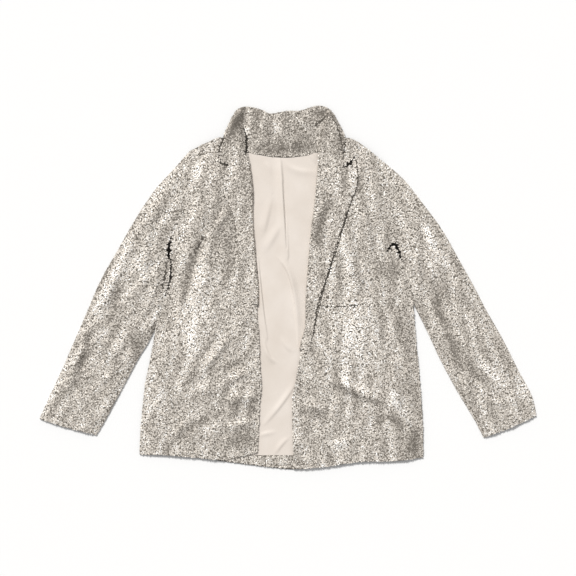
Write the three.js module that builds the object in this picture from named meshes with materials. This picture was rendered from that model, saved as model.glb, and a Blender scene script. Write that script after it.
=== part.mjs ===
// An open-front jacket of sequinned cloth, cut like a blazer, laid flat on its back.
// Millimetres. +X runs to the wearer's left sleeve, +Y to the collar, +Z up from the floor.
// The origin is on the floor in the middle of the jacket's box.

import * as THREE from "three";

// Driving sizes

const SHELL_WALL = 1.6;
const LINING_WALL = 1.0;
const SEAM_GAP = 0.3;
const LAYER_GAP = 0.8;

const BACK_TOP = SHELL_WALL;
const LINING_FLOOR = BACK_TOP + SEAM_GAP;

// A front lies on the back at its side seam and rises to pass over the rolled lapel
const FRONT_SIDE_FLOOR = BACK_TOP + SEAM_GAP;
const FRONT_ARMHOLE_FLOOR = 3.0;
const FRONT_BODY_FLOOR = 5.8;
const FRONT_HEM_FLOOR = 4.2;
const FRONT_LOWEST_FLOOR = 4.0;
const FRONT_RISE_WIDTH = 38;
const FRONT_HEM_Y = -345;
const FRONT_FULL_HEIGHT_Y = -130;
const FRONT_ARMPIT_Y = -50;
const FRONT_ARMPIT_BLEND = 50;
const FRONT_SHOULDER_Y = 273;
const FRONT_SHOULDER_BLEND = 44;
const FRONT_SHOULDER_SINK = 0.5;

// A sleeve is a flat tube: its height at the armhole, along the arm, at the cuff and at its edges
const SLEEVE_ARMHOLE_TOP = FRONT_ARMHOLE_FLOOR + SHELL_WALL;
const SLEEVE_MIDDLE_TOP = 6.0;
const SLEEVE_CUFF_TOP = 5.0;
const SLEEVE_EDGE_TOP = 3.5;
const SLEEVE_LOWEST_TOP = 3.6;
const SLEEVE_LEAST_HOLLOW = 0.25;
const SLEEVE_EDGE_SHARE = 0.12;
const SLEEVE_RISE_SHARE = 0.12;
const SLEEVE_CUFF_SHARE = 0.8;
const SLEEVE_OUTER_INSETS = { wall: 0, corner: 1.2, edge: 0 };
const SLEEVE_INNER_INSETS = { wall: SHELL_WALL, corner: 3.2, edge: SHELL_WALL + 0.4 };
const SLEEVE_SEAM_SHIFT = 0.55;

// A lapel turns over the front's edge, and the collar's leaves lie on the shoulders
const LAPEL_ROLL_REACH = 3.6;
const LAPEL_ROLL_ROUND = 0.9;
const LAPEL_ROLL_DIP = 0.2;
const LAPEL_ROLL_SLANT = 0.7;
const LAPEL_FRONT_INSET = 3.0;
const LAPEL_INSET_FROM = 0.1;
const LAPEL_INSET_TO = 0.02;
const LAPEL_LEAST_SPAN = 0.2;
const COLLAR_SEAM_SHIFT = 0.6;
const UNDER_COLLAR_SEAM_SHIFT = 0.45;
const COLLAR_LEAF_FLOOR = 8.0;
const COLLAR_ROLL_WIDTH = 6;
const COLLAR_ROLL_SHIFT = 2;
const COLLAR_FLAT_SHARE = 0.55;
const COLLAR_SEAM_SHARE = 0.3;
const COLLAR_DROP_FROM_Y = 294;
const COLLAR_DROP_TO_Y = 314;

const ARMHOLE_STEPS = 12;
const SIDE_STEPS = 14;
const FRONT_STEPS = 15;
const SLEEVE_STEPS = 20;
const LAPEL_STEPS = 18;
const LAPEL_WIDTH_STEPS = 3;
const COLLAR_SPLIT = 3;
const UNDER_COLLAR_SPLIT = 4;
const UNDER_COLLAR_WIDTH_STEPS = 2;
const COLLAR_WIDTH_STEPS = 6;
const LINING_WIDTH_STEPS = 12;
const LINING_STEPS = 22;
const HEM_BAND_STEPS = 8;
const CURVE_SAMPLES = 48;
const FOLD_SAMPLES = 8;
const FOLD_END_HEIGHT = 0.35;
const BEND_FADE = 3;

// A table's rows become objects with the named columns

function table(columns, rows) {
  const names = columns.split(" ");
  return rows.map((row) => Object.fromEntries(names.map((name, i) => [name, row[i]])));
}

// Seams and edges, as points that a smooth curve runs through

const RIGHT_ARMHOLE = table("x y", [
  [-263, -71], [-244, -17], [-236, 33], [-234, 97], [-210, 147], [-201, 215], [-196, 273],
]);
const LEFT_ARMHOLE = table("x y", [
  [250, -29], [240, 1], [228, 35], [213, 90], [210, 155], [204, 205], [194, 249],
]);
const RIGHT_SIDE = table("x y", [
  [-297, -334], [-295, -285], [-286, -195], [-276, -145], [-263, -71],
]);
const LEFT_SIDE = table("x y", [
  [270, -340], [270, -285], [264, -190], [256, -105], [250, -29],
]);
const BACK_HEM = table("x y", [
  [-297, -334], [-236, -336], [-176, -342], [-115, -350], [-58, -357], [12, -364],
  [71, -359], [125, -351], [152, -348], [218, -347], [270, -340],
]);
const BACK_NECK = table("x y", [
  [-130, 300], [-100, 280], [-60, 266], [-10, 260], [40, 266], [84, 283], [112, 300],
]);
const BACK_TOP_EDGE = [
  ...table("x y", [[-196, 273], [-158, 291]]),
  ...BACK_NECK,
  ...table("x y", [[134, 293], [162, 274], [194, 249]]),
];
const RIGHT_OPENING = table("x y", [
  [-61, -330], [-57, -237], [-54, -199], [-57, -141], [-60, -40], [-59, 5], [-65, 61],
  [-71, 147], [-70, 190], [-77, 248],
]);
const LEFT_OPENING = table("x y", [
  [12, -363], [9, -290], [9, -223], [16, -185], [24, -119], [34, -80], [36, -19],
  [46, 111], [53, 165], [60, 246],
]);
const RIGHT_FRONT_HEM = table("x y", [
  [-297, -334], [-236, -336], [-176, -341], [-126, -345], [-95, -338], [-61, -330],
]);
const LEFT_FRONT_HEM = table("x y", [
  [12, -363], [71, -359], [125, -351], [152, -348], [218, -347], [270, -340],
]);
const RIGHT_FRONT_TOP = table("x y", [
  [-196, 273], [-158, 291], [-132, 299], [-119, 280], [-106, 262], [-94, 249], [-77, 247],
]);
const LEFT_FRONT_TOP = table("x y", [
  [60, 245], [78, 246], [90, 260], [102, 280], [113, 298], [134, 293], [162, 274], [194, 249],
]);

// Sleeve edges, from the armhole to the cuff

const RIGHT_SLEEVE_OUTER = table("x y", [
  [-196, 273], [-230, 235], [-266, 195], [-306, 135], [-340, 75], [-374, 15], [-400, -45],
  [-426, -105], [-452, -165], [-480, -225], [-497, -263],
]);
const RIGHT_SLEEVE_INNER = table("x y", [
  [-263, -71], [-278, -105], [-302, -145], [-334, -205], [-366, -265], [-384, -295],
]);
const RIGHT_CUFF = table("x y", [[-497, -263], [-440, -281], [-384, -295]]);
const LEFT_SLEEVE_OUTER = table("x y", [
  [194, 249], [232, 215], [264, 175], [308, 115], [342, 55], [370, 5], [396, -45],
  [430, -105], [460, -165], [488, -218], [497, -256],
]);
const LEFT_SLEEVE_INNER = table("x y", [
  [250, -29], [278, -85], [306, -145], [338, -205], [374, -265], [392, -300],
]);
const LEFT_CUFF = table("x y", [[497, -256], [450, -279], [392, -300]]);

// Collar and lapels

const COLLAR_OUTER = table("x y", [
  [-138, 261], [-136, 275], [-129, 303], [-114, 337], [-101, 356], [-86, 362], [-54, 356],
  [-36, 348], [-4, 353], [24, 354], [44, 360], [64, 364], [84, 356], [104, 325],
  [113, 303], [110, 264],
]);
const RIGHT_GORGE = table("x y", [[-77, 248], [-118, 243]]);
const LEFT_GORGE = table("x y", [[60, 246], [111, 238]]);
const COLLAR_NECK = table("x y", [
  [-81, 262], [-56, 264], [-31, 262], [4, 262], [40, 268], [61, 262],
]);
const UNDER_COLLAR_EDGE = table("x y", [
  [-126, 309], [-114, 337], [-101, 356], [-86, 362], [-54, 356], [-36, 348], [-4, 353],
  [24, 354], [44, 360], [64, 364], [84, 356], [104, 325], [110, 309],
]);
const RIGHT_LAPEL_EDGE = table("x y", [
  [-74, -30], [-80, -3], [-95, 35], [-102, 91], [-110, 147], [-132, 193], [-147, 217],
  [-150, 234],
]);
const LEFT_LAPEL_EDGE = table("x y", [
  [42, -126], [48, -100], [59, -33], [78, 23], [96, 77], [109, 120], [124, 169],
  [137, 205], [136, 254],
]);

// Lining of the back and the sewn-up hem below it, as far as they show

const LINING_RIGHT = table("x y", [[-84, -336], [-76, -200], [-78, 0], [-86, 150], [-79, 246]]);
const LINING_LEFT = table("x y", [[34, -336], [42, -200], [58, 0], [68, 150], [62, 244]]);
const LINING_NECK = table("x y", [
  [-79, 246], [-74, 259], [-56, 262.5], [-31, 260.5], [4, 260.5], [40, 266], [54, 259], [62, 244],
]);
const LINING_HEM = table("x y", [[-84, -336], [34, -336]]);
const HEM_BAND_TOP = table("x y", [[-130, -336.5], [20, -336.5]]);
const HEM_BAND_EDGE = table("x y", [[-130, -346], [-58, -356], [8, -362.5], [20, -362]]);

// Patch pockets: the columns and rows of the front's own grid that each one covers

const POCKETS = table("name front firstColumn lastColumn firstRow lastRow", [
  ["right_pocket", "right", 6, 13, 9, 15],
  ["left_pocket", "left", 2, 8, 9, 14],
]);

// Folds: a soft ridge (height above 0) or trough (below 0) along a curve through three points

const FOLD_COLUMNS = "x0 y0 x1 y1 x2 y2 width height";
const RIGHT_FRONT_FOLDS = table(FOLD_COLUMNS, [
  [-162, 99, -178, 25, -208, -89, 10, 4.6],
  [-180, 95, -194, 25, -226, -85, 9, -1.2],
  [-120, -98, -160, -140, -206, -198, 10, 3.6],
  [-108, -116, -150, -160, -196, -212, 9, -1.2],
  [-84, -206, -156, -238, -216, -270, 10, 3.4],
  [-80, -226, -130, -256, -214, -298, 9, -1.2],
  [-80, -278, -112, -290, -150, -308, 10, 2.8],
  [-196, -20, -190, -70, -198, -122, 14, 2.6],
  [-178, 245, -180, 180, -176, 118, 11, 2.2],
  [-214, 100, -216, 40, -222, -22, 11, 2.4],
  [-252, -108, -258, -200, -270, -296, 13, 2.4],
  [-232, -130, -236, -210, -246, -288, 12, 2.0],
]);
const LEFT_FRONT_FOLDS = table(FOLD_COLUMNS, [
  [148, 128, 164, 96, 164, 42, 9, 3.2],
  [122, 78, 126, 40, 138, 4, 10, 3.2],
  [138, 100, 142, 60, 150, 20, 8, -1.2],
  [182, -62, 186, -140, 192, -230, 11, 3.8],
  [200, -85, 204, -150, 212, -226, 9, -1.2],
  [220, -72, 226, -160, 234, -250, 10, 3.4],
  [252, -96, 256, -170, 262, -250, 9, 2.2],
  [118, -172, 152, -206, 206, -228, 10, 4.4],
  [112, -190, 146, -228, 200, -246, 9, -1.2],
  [32, -230, 60, -238, 94, -252, 10, 2.8],
  [180, -256, 214, -266, 250, -284, 11, 2.6],
  [192, 96, 216, 100, 230, 66, 9, 3.4],
  [200, 70, 214, 82, 222, 52, 7, -1.2],
  [176, 210, 186, 160, 190, 120, 12, 2.2],
]);
const RIGHT_SLEEVE_FOLDS = table(FOLD_COLUMNS, [
  [-226, 200, -262, 150, -300, 104, 11, 2.4],
  [-250, 110, -290, 60, -330, 20, 11, 2.2],
  [-262, 40, -310, 10, -352, -30, 10, 2.6],
  [-310, 96, -350, 30, -386, -58, 12, 2.0],
  [-330, 10, -340, -30, -346, -78, 9, -1.2],
  [-300, -60, -346, -80, -392, -100, 10, 2.2],
  [-402, -84, -420, -150, -430, -232, 9, -1.2],
  [-340, -140, -376, -160, -420, -170, 10, 2.2],
  [-376, -206, -410, -220, -452, -222, 10, 2.0],
]);
const LEFT_SLEEVE_FOLDS = table(FOLD_COLUMNS, [
  [222, 196, 262, 150, 300, 92, 11, 2.4],
  [274, 120, 298, 66, 328, 12, 10, 2.8],
  [252, 60, 286, 20, 318, -22, 10, 2.4],
  [292, 10, 302, -30, 320, -80, 9, -1.2],
  [326, -82, 364, -144, 416, -214, 10, 2.6],
  [312, -96, 350, -156, 404, -226, 9, -1.2],
  [346, 6, 376, -52, 410, -110, 11, 2.0],
  [384, -226, 420, -234, 470, -222, 10, 2.0],
]);
const LINING_FOLDS = table(FOLD_COLUMNS, [
  [-15, 250, -11, 190, -2, 66, 5, 1.9],
  [-12, 48, 10, 0, 19, -112, 6, 1.7],
  [-34, 178, -44, 134, -48, 110, 8, 1.3],
  [-16, 126, -30, 100, -46, 74, 8, 1.2],
  [-46, 50, -40, -20, -34, -96, 7, 1.3],
  [-36, -110, -30, -134, -14, -150, 7, 1.1],
  [0, -192, -14, -232, -40, -270, 8, 1.4],
  [-10, -300, -18, -316, -28, -330, 8, 1.0],
]);
const COLLAR_FOLDS = table(FOLD_COLUMNS, [
  [20, 346, 30, 334, 40, 322, 9, 2.2],
  [-52, 346, -44, 320, -40, 296, 12, 1.8],
  [-14, 344, -12, 322, -2, 300, 12, 1.6],
]);

// Where the collar folds over, from its top edge down to the gorge
const COLLAR_RIGHT_ROLL = table("x y", [
  [-90, 380], [-90, 323], [-83, 275], [-72, 248], [-70, 230],
]);
const COLLAR_LEFT_ROLL = table("x y", [
  [92, 380], [72, 336], [64, 300], [54, 246], [52, 230],
]);

// Numbers and curves

function mix(a, b, t) {
  return a + (b - a) * t;
}

function ease(edge0, edge1, value) {
  const t = Math.min(1, Math.max(0, (value - edge0) / (edge1 - edge0)));
  return t * t * (3 - 2 * t);
}

// A cubic through the rows, with chord lengths as its parameter, read from 0 to 1
function curveThrough(rows) {
  const points = rows.map((row) => new THREE.Vector2(row.x, row.y));
  const marks = [0];
  for (let i = 1; i < points.length; i += 1) {
    marks.push(marks[i - 1] + points[i].distanceTo(points[i - 1]));
  }
  const total = marks[marks.length - 1];
  const slopeAt = (i) => {
    const before = Math.max(0, i - 1);
    const after = Math.min(points.length - 1, i + 1);
    return points[after].clone().sub(points[before]).divideScalar(marks[after] - marks[before]);
  };
  const slopes = points.map((point, i) => slopeAt(i));
  return (t) => {
    const mark = Math.min(1, Math.max(0, t)) * total;
    let i = 0;
    while (i < points.length - 2 && mark > marks[i + 1]) {
      i += 1;
    }
    const span = marks[i + 1] - marks[i];
    const s = (mark - marks[i]) / span;
    const start = 2 * s ** 3 - 3 * s ** 2 + 1;
    const startSlope = (s ** 3 - 2 * s ** 2 + s) * span;
    const end = 3 * s ** 2 - 2 * s ** 3;
    const endSlope = (s ** 3 - s ** 2) * span;
    return points[i].clone().multiplyScalar(start)
      .addScaledVector(slopes[i], startSlope)
      .addScaledVector(points[i + 1], end)
      .addScaledVector(slopes[i + 1], endSlope);
  };
}

// Straight lines through the rows, read from 0 to 1 by length
function lineThrough(rows) {
  const marks = rowMarks(rows);
  return (t) => {
    let i = 0;
    while (i < rows.length - 2 && t > marks[i + 1]) {
      i += 1;
    }
    return mixPoints(rows[i], rows[i + 1], (t - marks[i]) / (marks[i + 1] - marks[i]));
  };
}

// Share of the whole length at each row
function rowMarks(rows) {
  const marks = [0];
  for (let i = 1; i < rows.length; i += 1) {
    marks.push(marks[i - 1] + Math.hypot(rows[i].x - rows[i - 1].x, rows[i].y - rows[i - 1].y));
  }
  return marks.map((mark) => mark / marks[marks.length - 1]);
}

// Marks with each span cut into equal steps
function splitMarks(marks, steps) {
  const spans = marks.slice(1).flatMap((end, i) => (
    evenMarks(steps).slice(1).map((share) => mix(marks[i], end, share))
  ));
  return [marks[0], ...spans];
}

// Two curves end to end: the first takes the share given, the second the rest
function joinCurves(first, second, share) {
  return (t) => (t <= share ? first(t / share) : second((t - share) / (1 - share)));
}

// A point inside four edges: a straight row from start to finish at v, and the bends of the
// bottom and top edges, which die out away from them
function patchPoint(edges, u, v) {
  const place = mixPoints(edges.start(v), edges.finish(v), u);
  const bend = (edge) => edge(u).sub(mixPoints(edge(0), edge(1), u));
  return place
    .addScaledVector(bend(edges.bottom), (1 - v) ** BEND_FADE)
    .addScaledVector(bend(edges.top), v ** BEND_FADE);
}

function mixPoints(a, b, t) {
  return new THREE.Vector2(mix(a.x, b.x, t), mix(a.y, b.y, t));
}

// The nearest place on a line of points: its distance, its share of the way along, and the
// side that the given place lies on, below 0 towards the wearer's right of a line that runs down
function nearestOn(line, x, y) {
  let best = { distance: Infinity, share: 0, side: 1 };
  for (let i = 0; i < line.length - 1; i += 1) {
    const alongX = line[i + 1].x - line[i].x;
    const alongY = line[i + 1].y - line[i].y;
    const toX = x - line[i].x;
    const toY = y - line[i].y;
    const raw = (toX * alongX + toY * alongY) / (alongX ** 2 + alongY ** 2);
    const t = Math.min(1, Math.max(0, raw));
    const distance = Math.hypot(toX - t * alongX, toY - t * alongY);
    if (distance < best.distance) {
      const side = Math.sign(alongX * toY - alongY * toX) || 1;
      best = { distance, share: (i + t) / (line.length - 1), side };
    }
  }
  return best;
}

function sampled(curve, steps) {
  return evenMarks(steps).map((t) => curve(t));
}

// A fold's line: the parabola that starts, turns and ends at its three points
function foldLine(fold) {
  const controlX = 2 * fold.x1 - (fold.x0 + fold.x2) / 2;
  const controlY = 2 * fold.y1 - (fold.y0 + fold.y2) / 2;
  const start = new THREE.Vector2(fold.x0, fold.y0);
  const control = new THREE.Vector2(controlX, controlY);
  const end = new THREE.Vector2(fold.x2, fold.y2);
  const bend = new THREE.QuadraticBezierCurve(start, control, end);
  return bend.getPoints(FOLD_SAMPLES);
}

function prepareFolds(folds) {
  return folds.map((fold) => ({ ...fold, line: foldLine(fold) }));
}

// Sum of the folds at a place: each falls off with the distance from its line and at its ends
function foldHeight(folds, x, y) {
  return folds.reduce((height, fold) => {
    const { distance, share } = nearestOn(fold.line, x, y);
    const along = mix(FOLD_END_HEIGHT, 1, Math.sin(Math.PI * share));
    return height + fold.height * along * Math.exp(-((distance / fold.width) ** 2));
  }, 0);
}

// Closed bodies

// Faces from vertices in rows; a body that comes out inside out is turned round
function closedBody(points, faces) {
  let volume = 0;
  for (const [a, b, c] of faces) {
    volume += points[a].dot(new THREE.Vector3().crossVectors(points[b], points[c]));
  }
  const index = faces.flatMap(([a, b, c]) => (volume > 0 ? [a, b, c] : [a, c, b]));
  const geometry = new THREE.BufferGeometry();
  const positions = points.flatMap((point) => [point.x, point.y, point.z]);
  geometry.setAttribute("position", new THREE.Float32BufferAttribute(positions, 3));
  geometry.setIndex(index);
  geometry.computeVertexNormals();
  return geometry;
}

// A cloth wall between two grids of points, upper over lower, closed along its four edges
function clothWall(upper, lower) {
  const rows = upper.length;
  const columns = upper[0].length;
  const points = [...upper.flat(), ...lower.flat()];
  const top = (r, c) => r * columns + c;
  const bottom = (r, c) => rows * columns + r * columns + c;
  const faces = [];
  const quad = (a, b, c, d) => faces.push([a, b, c], [a, c, d]);
  for (let r = 0; r < rows - 1; r += 1) {
    for (let c = 0; c < columns - 1; c += 1) {
      quad(top(r, c), top(r, c + 1), top(r + 1, c + 1), top(r + 1, c));
      quad(bottom(r, c), bottom(r + 1, c), bottom(r + 1, c + 1), bottom(r, c + 1));
    }
    quad(top(r, 0), top(r + 1, 0), bottom(r + 1, 0), bottom(r, 0));
    quad(top(r + 1, columns - 1), top(r, columns - 1), bottom(r, columns - 1),
      bottom(r + 1, columns - 1));
  }
  for (let c = 0; c < columns - 1; c += 1) {
    quad(top(0, c + 1), top(0, c), bottom(0, c), bottom(0, c + 1));
    quad(top(rows - 1, c), top(rows - 1, c + 1), bottom(rows - 1, c + 1), bottom(rows - 1, c));
  }
  return closedBody(points, faces);
}

// An open tube between outer and inner rings, ring by ring
function clothTube(outer, inner) {
  const rings = outer.length;
  const around = outer[0].length;
  const points = [...outer.flat(), ...inner.flat()];
  const out = (r, k) => r * around + (k % around);
  const into = (r, k) => rings * around + r * around + (k % around);
  const faces = [];
  const quad = (a, b, c, d) => faces.push([a, b, c], [a, c, d]);
  for (let k = 0; k < around; k += 1) {
    for (let r = 0; r < rings - 1; r += 1) {
      quad(out(r, k), out(r, k + 1), out(r + 1, k + 1), out(r + 1, k));
      quad(into(r, k), into(r + 1, k), into(r + 1, k + 1), into(r, k + 1));
    }
    quad(out(0, k + 1), out(0, k), into(0, k), into(0, k + 1));
    quad(out(rings - 1, k), out(rings - 1, k + 1), into(rings - 1, k + 1), into(rings - 1, k));
  }
  return closedBody(points, faces);
}

// A wall over a patch, its floor given by a function of the place
function patchWall(edges, uMarks, vMarks, floorAt, wall) {
  const lower = vMarks.map((v) => uMarks.map((u) => {
    const place = patchPoint(edges, u, v);
    return new THREE.Vector3(place.x, place.y, floorAt(place.x, place.y, u, v));
  }));
  const upper = lower.map((row) => row.map((p) => new THREE.Vector3(p.x, p.y, p.z + wall)));
  return clothWall(upper, lower);
}

function evenMarks(steps) {
  return Array.from({ length: steps + 1 }, (unused, i) => i / steps);
}

// Body panels: rows run from the hem to the shoulder and meet the sleeve's points at the armhole

const BODY_STEPS = SIDE_STEPS + ARMHOLE_STEPS;
const ARMPIT_SHARE = SIDE_STEPS / BODY_STEPS;
const rightEdge = joinCurves(curveThrough(RIGHT_SIDE), curveThrough(RIGHT_ARMHOLE), ARMPIT_SHARE);
const leftEdge = joinCurves(curveThrough(LEFT_SIDE), curveThrough(LEFT_ARMHOLE), ARMPIT_SHARE);

function makeBack() {
  const edges = {
    bottom: curveThrough(BACK_HEM),
    top: curveThrough(BACK_TOP_EDGE),
    start: rightEdge,
    finish: leftEdge,
  };
  return patchWall(edges, rowMarks(BACK_TOP_EDGE), evenMarks(BODY_STEPS), () => 0, SHELL_WALL);
}

// Height of a front's lower face: on the back at the side seam, up over the rolled lapel
function frontLowerFace(front, x, y) {
  const aboveArmpit = ease(FRONT_ARMPIT_Y - FRONT_ARMPIT_BLEND, FRONT_ARMPIT_Y, y);
  const sideFloor = mix(FRONT_SIDE_FLOOR, FRONT_ARMHOLE_FLOOR, aboveArmpit);
  const full = ease(FRONT_HEM_Y, FRONT_FULL_HEIGHT_Y, y);
  const bodyFloor = mix(FRONT_HEM_FLOOR, FRONT_BODY_FLOOR, full);
  const rise = ease(0, FRONT_RISE_WIDTH, nearestOn(front.sideLine, x, y).distance);
  const shoulder = ease(FRONT_SHOULDER_Y - FRONT_SHOULDER_BLEND, FRONT_SHOULDER_Y, y);
  const flat = mix(sideFloor, bodyFloor, rise * (1 - FRONT_SHOULDER_SINK * shoulder));
  const folded = flat + rise * foldHeight(front.folds, x, y);
  return Math.max(folded, Math.min(flat, FRONT_LOWEST_FLOOR));
}

// The opening edge, timed so that the armpit's row crosses the front level
function timedOpening(rows, armpitShare) {
  const curve = curveThrough(rows);
  const before = (t) => curve(t * armpitShare);
  const after = (t) => curve(mix(armpitShare, 1, t));
  return joinCurves(before, after, ARMPIT_SHARE);
}

const RIGHT_OPENING_ARMPIT_SHARE = 0.46;
const LEFT_OPENING_ARMPIT_SHARE = 0.53;
const rightOpening = timedOpening(RIGHT_OPENING, RIGHT_OPENING_ARMPIT_SHARE);
const leftOpening = timedOpening(LEFT_OPENING, LEFT_OPENING_ARMPIT_SHARE);

const FRONTS = {
  right: {
    edges: {
      bottom: curveThrough(RIGHT_FRONT_HEM),
      top: curveThrough(RIGHT_FRONT_TOP),
      start: rightEdge,
      finish: rightOpening,
    },
    opening: { name: "finish", curve: rightOpening, inward: -1 },
    lapelFrom: 0.58,
    lapelEdge: RIGHT_LAPEL_EDGE,
    gorge: RIGHT_GORGE,
    folds: prepareFolds(RIGHT_FRONT_FOLDS),
    sideLine: sampled(rightEdge, CURVE_SAMPLES),
  },
  left: {
    edges: {
      bottom: curveThrough(LEFT_FRONT_HEM),
      top: curveThrough(LEFT_FRONT_TOP),
      start: leftOpening,
      finish: leftEdge,
    },
    opening: { name: "start", curve: leftOpening, inward: 1 },
    lapelFrom: 0.4,
    lapelEdge: LEFT_LAPEL_EDGE,
    gorge: LEFT_GORGE,
    folds: prepareFolds(LEFT_FRONT_FOLDS),
    sideLine: sampled(leftEdge, CURVE_SAMPLES),
  },
};

// The front stops short of the lapel's roll, which wraps round its edge
function frontGrid(front) {
  const { name, curve, inward } = front.opening;
  const insetFrom = front.lapelFrom - LAPEL_INSET_FROM;
  const insetTo = front.lapelFrom - LAPEL_INSET_TO;
  const insetAt = (v) => LAPEL_FRONT_INSET * ease(insetFrom, insetTo, v);
  const shift = (point, distance) => new THREE.Vector2(point.x + inward * distance, point.y);
  const fromOpening = (u) => (name === "start" ? 1 - u : u);
  const edges = {
    ...front.edges,
    [name]: (v) => shift(curve(v), insetAt(v)),
    top: (u) => shift(front.edges.top(u), insetAt(1) * fromOpening(u)),
  };
  return evenMarks(BODY_STEPS).map((v) => evenMarks(FRONT_STEPS).map((u) => {
    const place = patchPoint(edges, u, v);
    return new THREE.Vector3(place.x, place.y, frontLowerFace(front, place.x, place.y));
  }));
}

function raise(grid, height) {
  return grid.map((row) => row.map((p) => new THREE.Vector3(p.x, p.y, p.z + height)));
}

function makeFront(front) {
  const lower = frontGrid(front);
  return clothWall(raise(lower, SHELL_WALL), lower);
}

// A patch pocket is a part of its front's own grid, moved up
function makePocket(pocket) {
  const rows = frontGrid(FRONTS[pocket.front]).slice(pocket.firstRow, pocket.lastRow + 1);
  const patch = rows.map((row) => row.slice(pocket.firstColumn, pocket.lastColumn + 1));
  const lower = raise(patch, SHELL_WALL + SEAM_GAP);
  return clothWall(raise(lower, SHELL_WALL), lower);
}

// A lapel: its section starts under the front's edge, rolls round it and lies on the front
function makeLapel(front) {
  const half = SHELL_WALL / 2;
  const [roll, notch] = front.gorge;
  const edge = curveThrough(front.lapelEdge);
  const topRows = [roll, notch, edge(1)];
  const start = (v) => front.opening.curve(mix(front.lapelFrom, 1, v));
  const edges = {
    start,
    finish: edge,
    bottom: (u) => mixPoints(start(0), edge(0), u),
    top: lineThrough(topRows),
  };
  const notchMark = rowMarks(topRows)[1];
  const upper = [];
  const lower = [];
  for (const v of evenMarks(LAPEL_STEPS)) {
    const width = edges.start(v).distanceTo(edges.finish(v));
    const place = (d) => patchPoint(edges, d / width, v);
    const heightAt = (d) => frontLowerFace(front, place(d).x, place(d).y);
    const edgeFloor = heightAt(LAPEL_ROLL_REACH);
    const low = edgeFloor - 2 * SEAM_GAP - half;
    const high = edgeFloor + SHELL_WALL + LAYER_GAP + half;
    const roundD = half + LAPEL_ROLL_ROUND;
    const slant = LAPEL_ROLL_SLANT;
    const section = [
      { d: LAPEL_ROLL_REACH, z: low, turnD: 0, turnZ: -1 },
      { d: roundD, z: low + LAPEL_ROLL_DIP, turnD: -slant, turnZ: -slant },
      { d: half, z: mix(low, high, 0.5), turnD: -1, turnZ: 0 },
      { d: roundD, z: high - LAPEL_ROLL_DIP, turnD: -slant, turnZ: slant },
    ];
    const rollMark = LAPEL_ROLL_REACH / width;
    const middleMark = Math.max(notchMark, rollMark + LAPEL_LEAST_SPAN);
    const marks = splitMarks([rollMark, middleMark, 1], LAPEL_WIDTH_STEPS);
    for (const mark of marks.slice(1)) {
      const d = mark * width;
      section.push({ d, z: heightAt(d) + high - edgeFloor, turnD: 0, turnZ: 1 });
    }
    const offset = (side) => section.map(({ d, z, turnD, turnZ }) => {
      const p = place(d + side * half * turnD);
      return new THREE.Vector3(p.x, p.y, z + side * half * turnZ);
    });
    upper.push(offset(1));
    lower.push(offset(-1));
  }
  return clothWall(upper, lower);
}

// Sleeves: a flat tube with the floor under it and folds on its upper wall

function sleeveTop(folds, u, v, place) {
  const risen = ease(0, SLEEVE_RISE_SHARE, v);
  const middle = mix(SLEEVE_ARMHOLE_TOP, SLEEVE_MIDDLE_TOP, risen);
  const along = mix(middle, SLEEVE_CUFF_TOP, ease(SLEEVE_CUFF_SHARE, 1, v));
  const folded = along + risen * foldHeight(folds, place.x, place.y);
  const edge = ease(0, SLEEVE_EDGE_SHARE, Math.min(u, 1 - u));
  return Math.max(SLEEVE_LOWEST_TOP, mix(SLEEVE_EDGE_TOP, folded, mix(1, edge, risen)));
}

function makeSleeve(sleeve) {
  const armhole = curveThrough(sleeve.armhole);
  const folds = prepareFolds(sleeve.folds);
  const edges = {
    bottom: (u) => armhole(1 - u),
    top: curveThrough(sleeve.cuff),
    start: curveThrough(sleeve.outer),
    finish: curveThrough(sleeve.inner),
  };
  const seamShift = new THREE.Vector2(sleeve.side * SLEEVE_SEAM_SHIFT, -SEAM_GAP);
  const columns = evenMarks(ARMHOLE_STEPS);
  const rings = evenMarks(SLEEVE_STEPS).map((v) => {
    const places = columns.map((u) => patchPoint(edges, u, v));
    if (v === 0) {
      places.forEach((place) => place.add(seamShift));
    }
    const tops = columns.map((u, i) => sleeveTop(folds, u, v, places[i]));
    return { places, tops };
  });
  const outer = rings.map(({ places, tops }) => sleeveRing(places, tops, SLEEVE_OUTER_INSETS));
  const inner = rings.map(({ places, tops }) => sleeveRing(places, tops, SLEEVE_INNER_INSETS));
  return clothTube(outer, inner);
}

// One ring: along the lower wall, round the inner edge, back along the upper, round the outer
function sleeveRing(places, tops, insets) {
  const last = places.length - 1;
  const inset = (i, distance) => {
    const toward = i === 0 ? places[1] : places[last - 1];
    return mixPoints(places[i], toward, distance / places[i].distanceTo(toward));
  };
  const at = (i) => (i === 0 || i === last ? inset(i, insets.corner) : places[i]);
  const lowest = insets.wall + SLEEVE_LEAST_HOLLOW;
  const low = (i) => new THREE.Vector3(at(i).x, at(i).y, insets.wall);
  const high = (i) => new THREE.Vector3(at(i).x, at(i).y, Math.max(tops[i] - insets.wall, lowest));
  const edge = (i) => {
    const place = inset(i, insets.edge);
    return new THREE.Vector3(place.x, place.y, SLEEVE_EDGE_TOP / 2);
  };
  const order = places.map((place, i) => i);
  return [...order.map(low), edge(last), ...order.map(high).reverse(), edge(0)];
}

const SLEEVES = {
  right: {
    side: -1,
    armhole: RIGHT_ARMHOLE,
    outer: RIGHT_SLEEVE_OUTER,
    inner: RIGHT_SLEEVE_INNER,
    cuff: RIGHT_CUFF,
    folds: RIGHT_SLEEVE_FOLDS,
  },
  left: {
    side: 1,
    armhole: LEFT_ARMHOLE,
    outer: LEFT_SLEEVE_OUTER,
    inner: LEFT_SLEEVE_INNER,
    cuff: LEFT_CUFF,
    folds: LEFT_SLEEVE_FOLDS,
  },
};

// Collar: the back of it lies on the floor, the two leaves fold forward over the fronts

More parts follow.
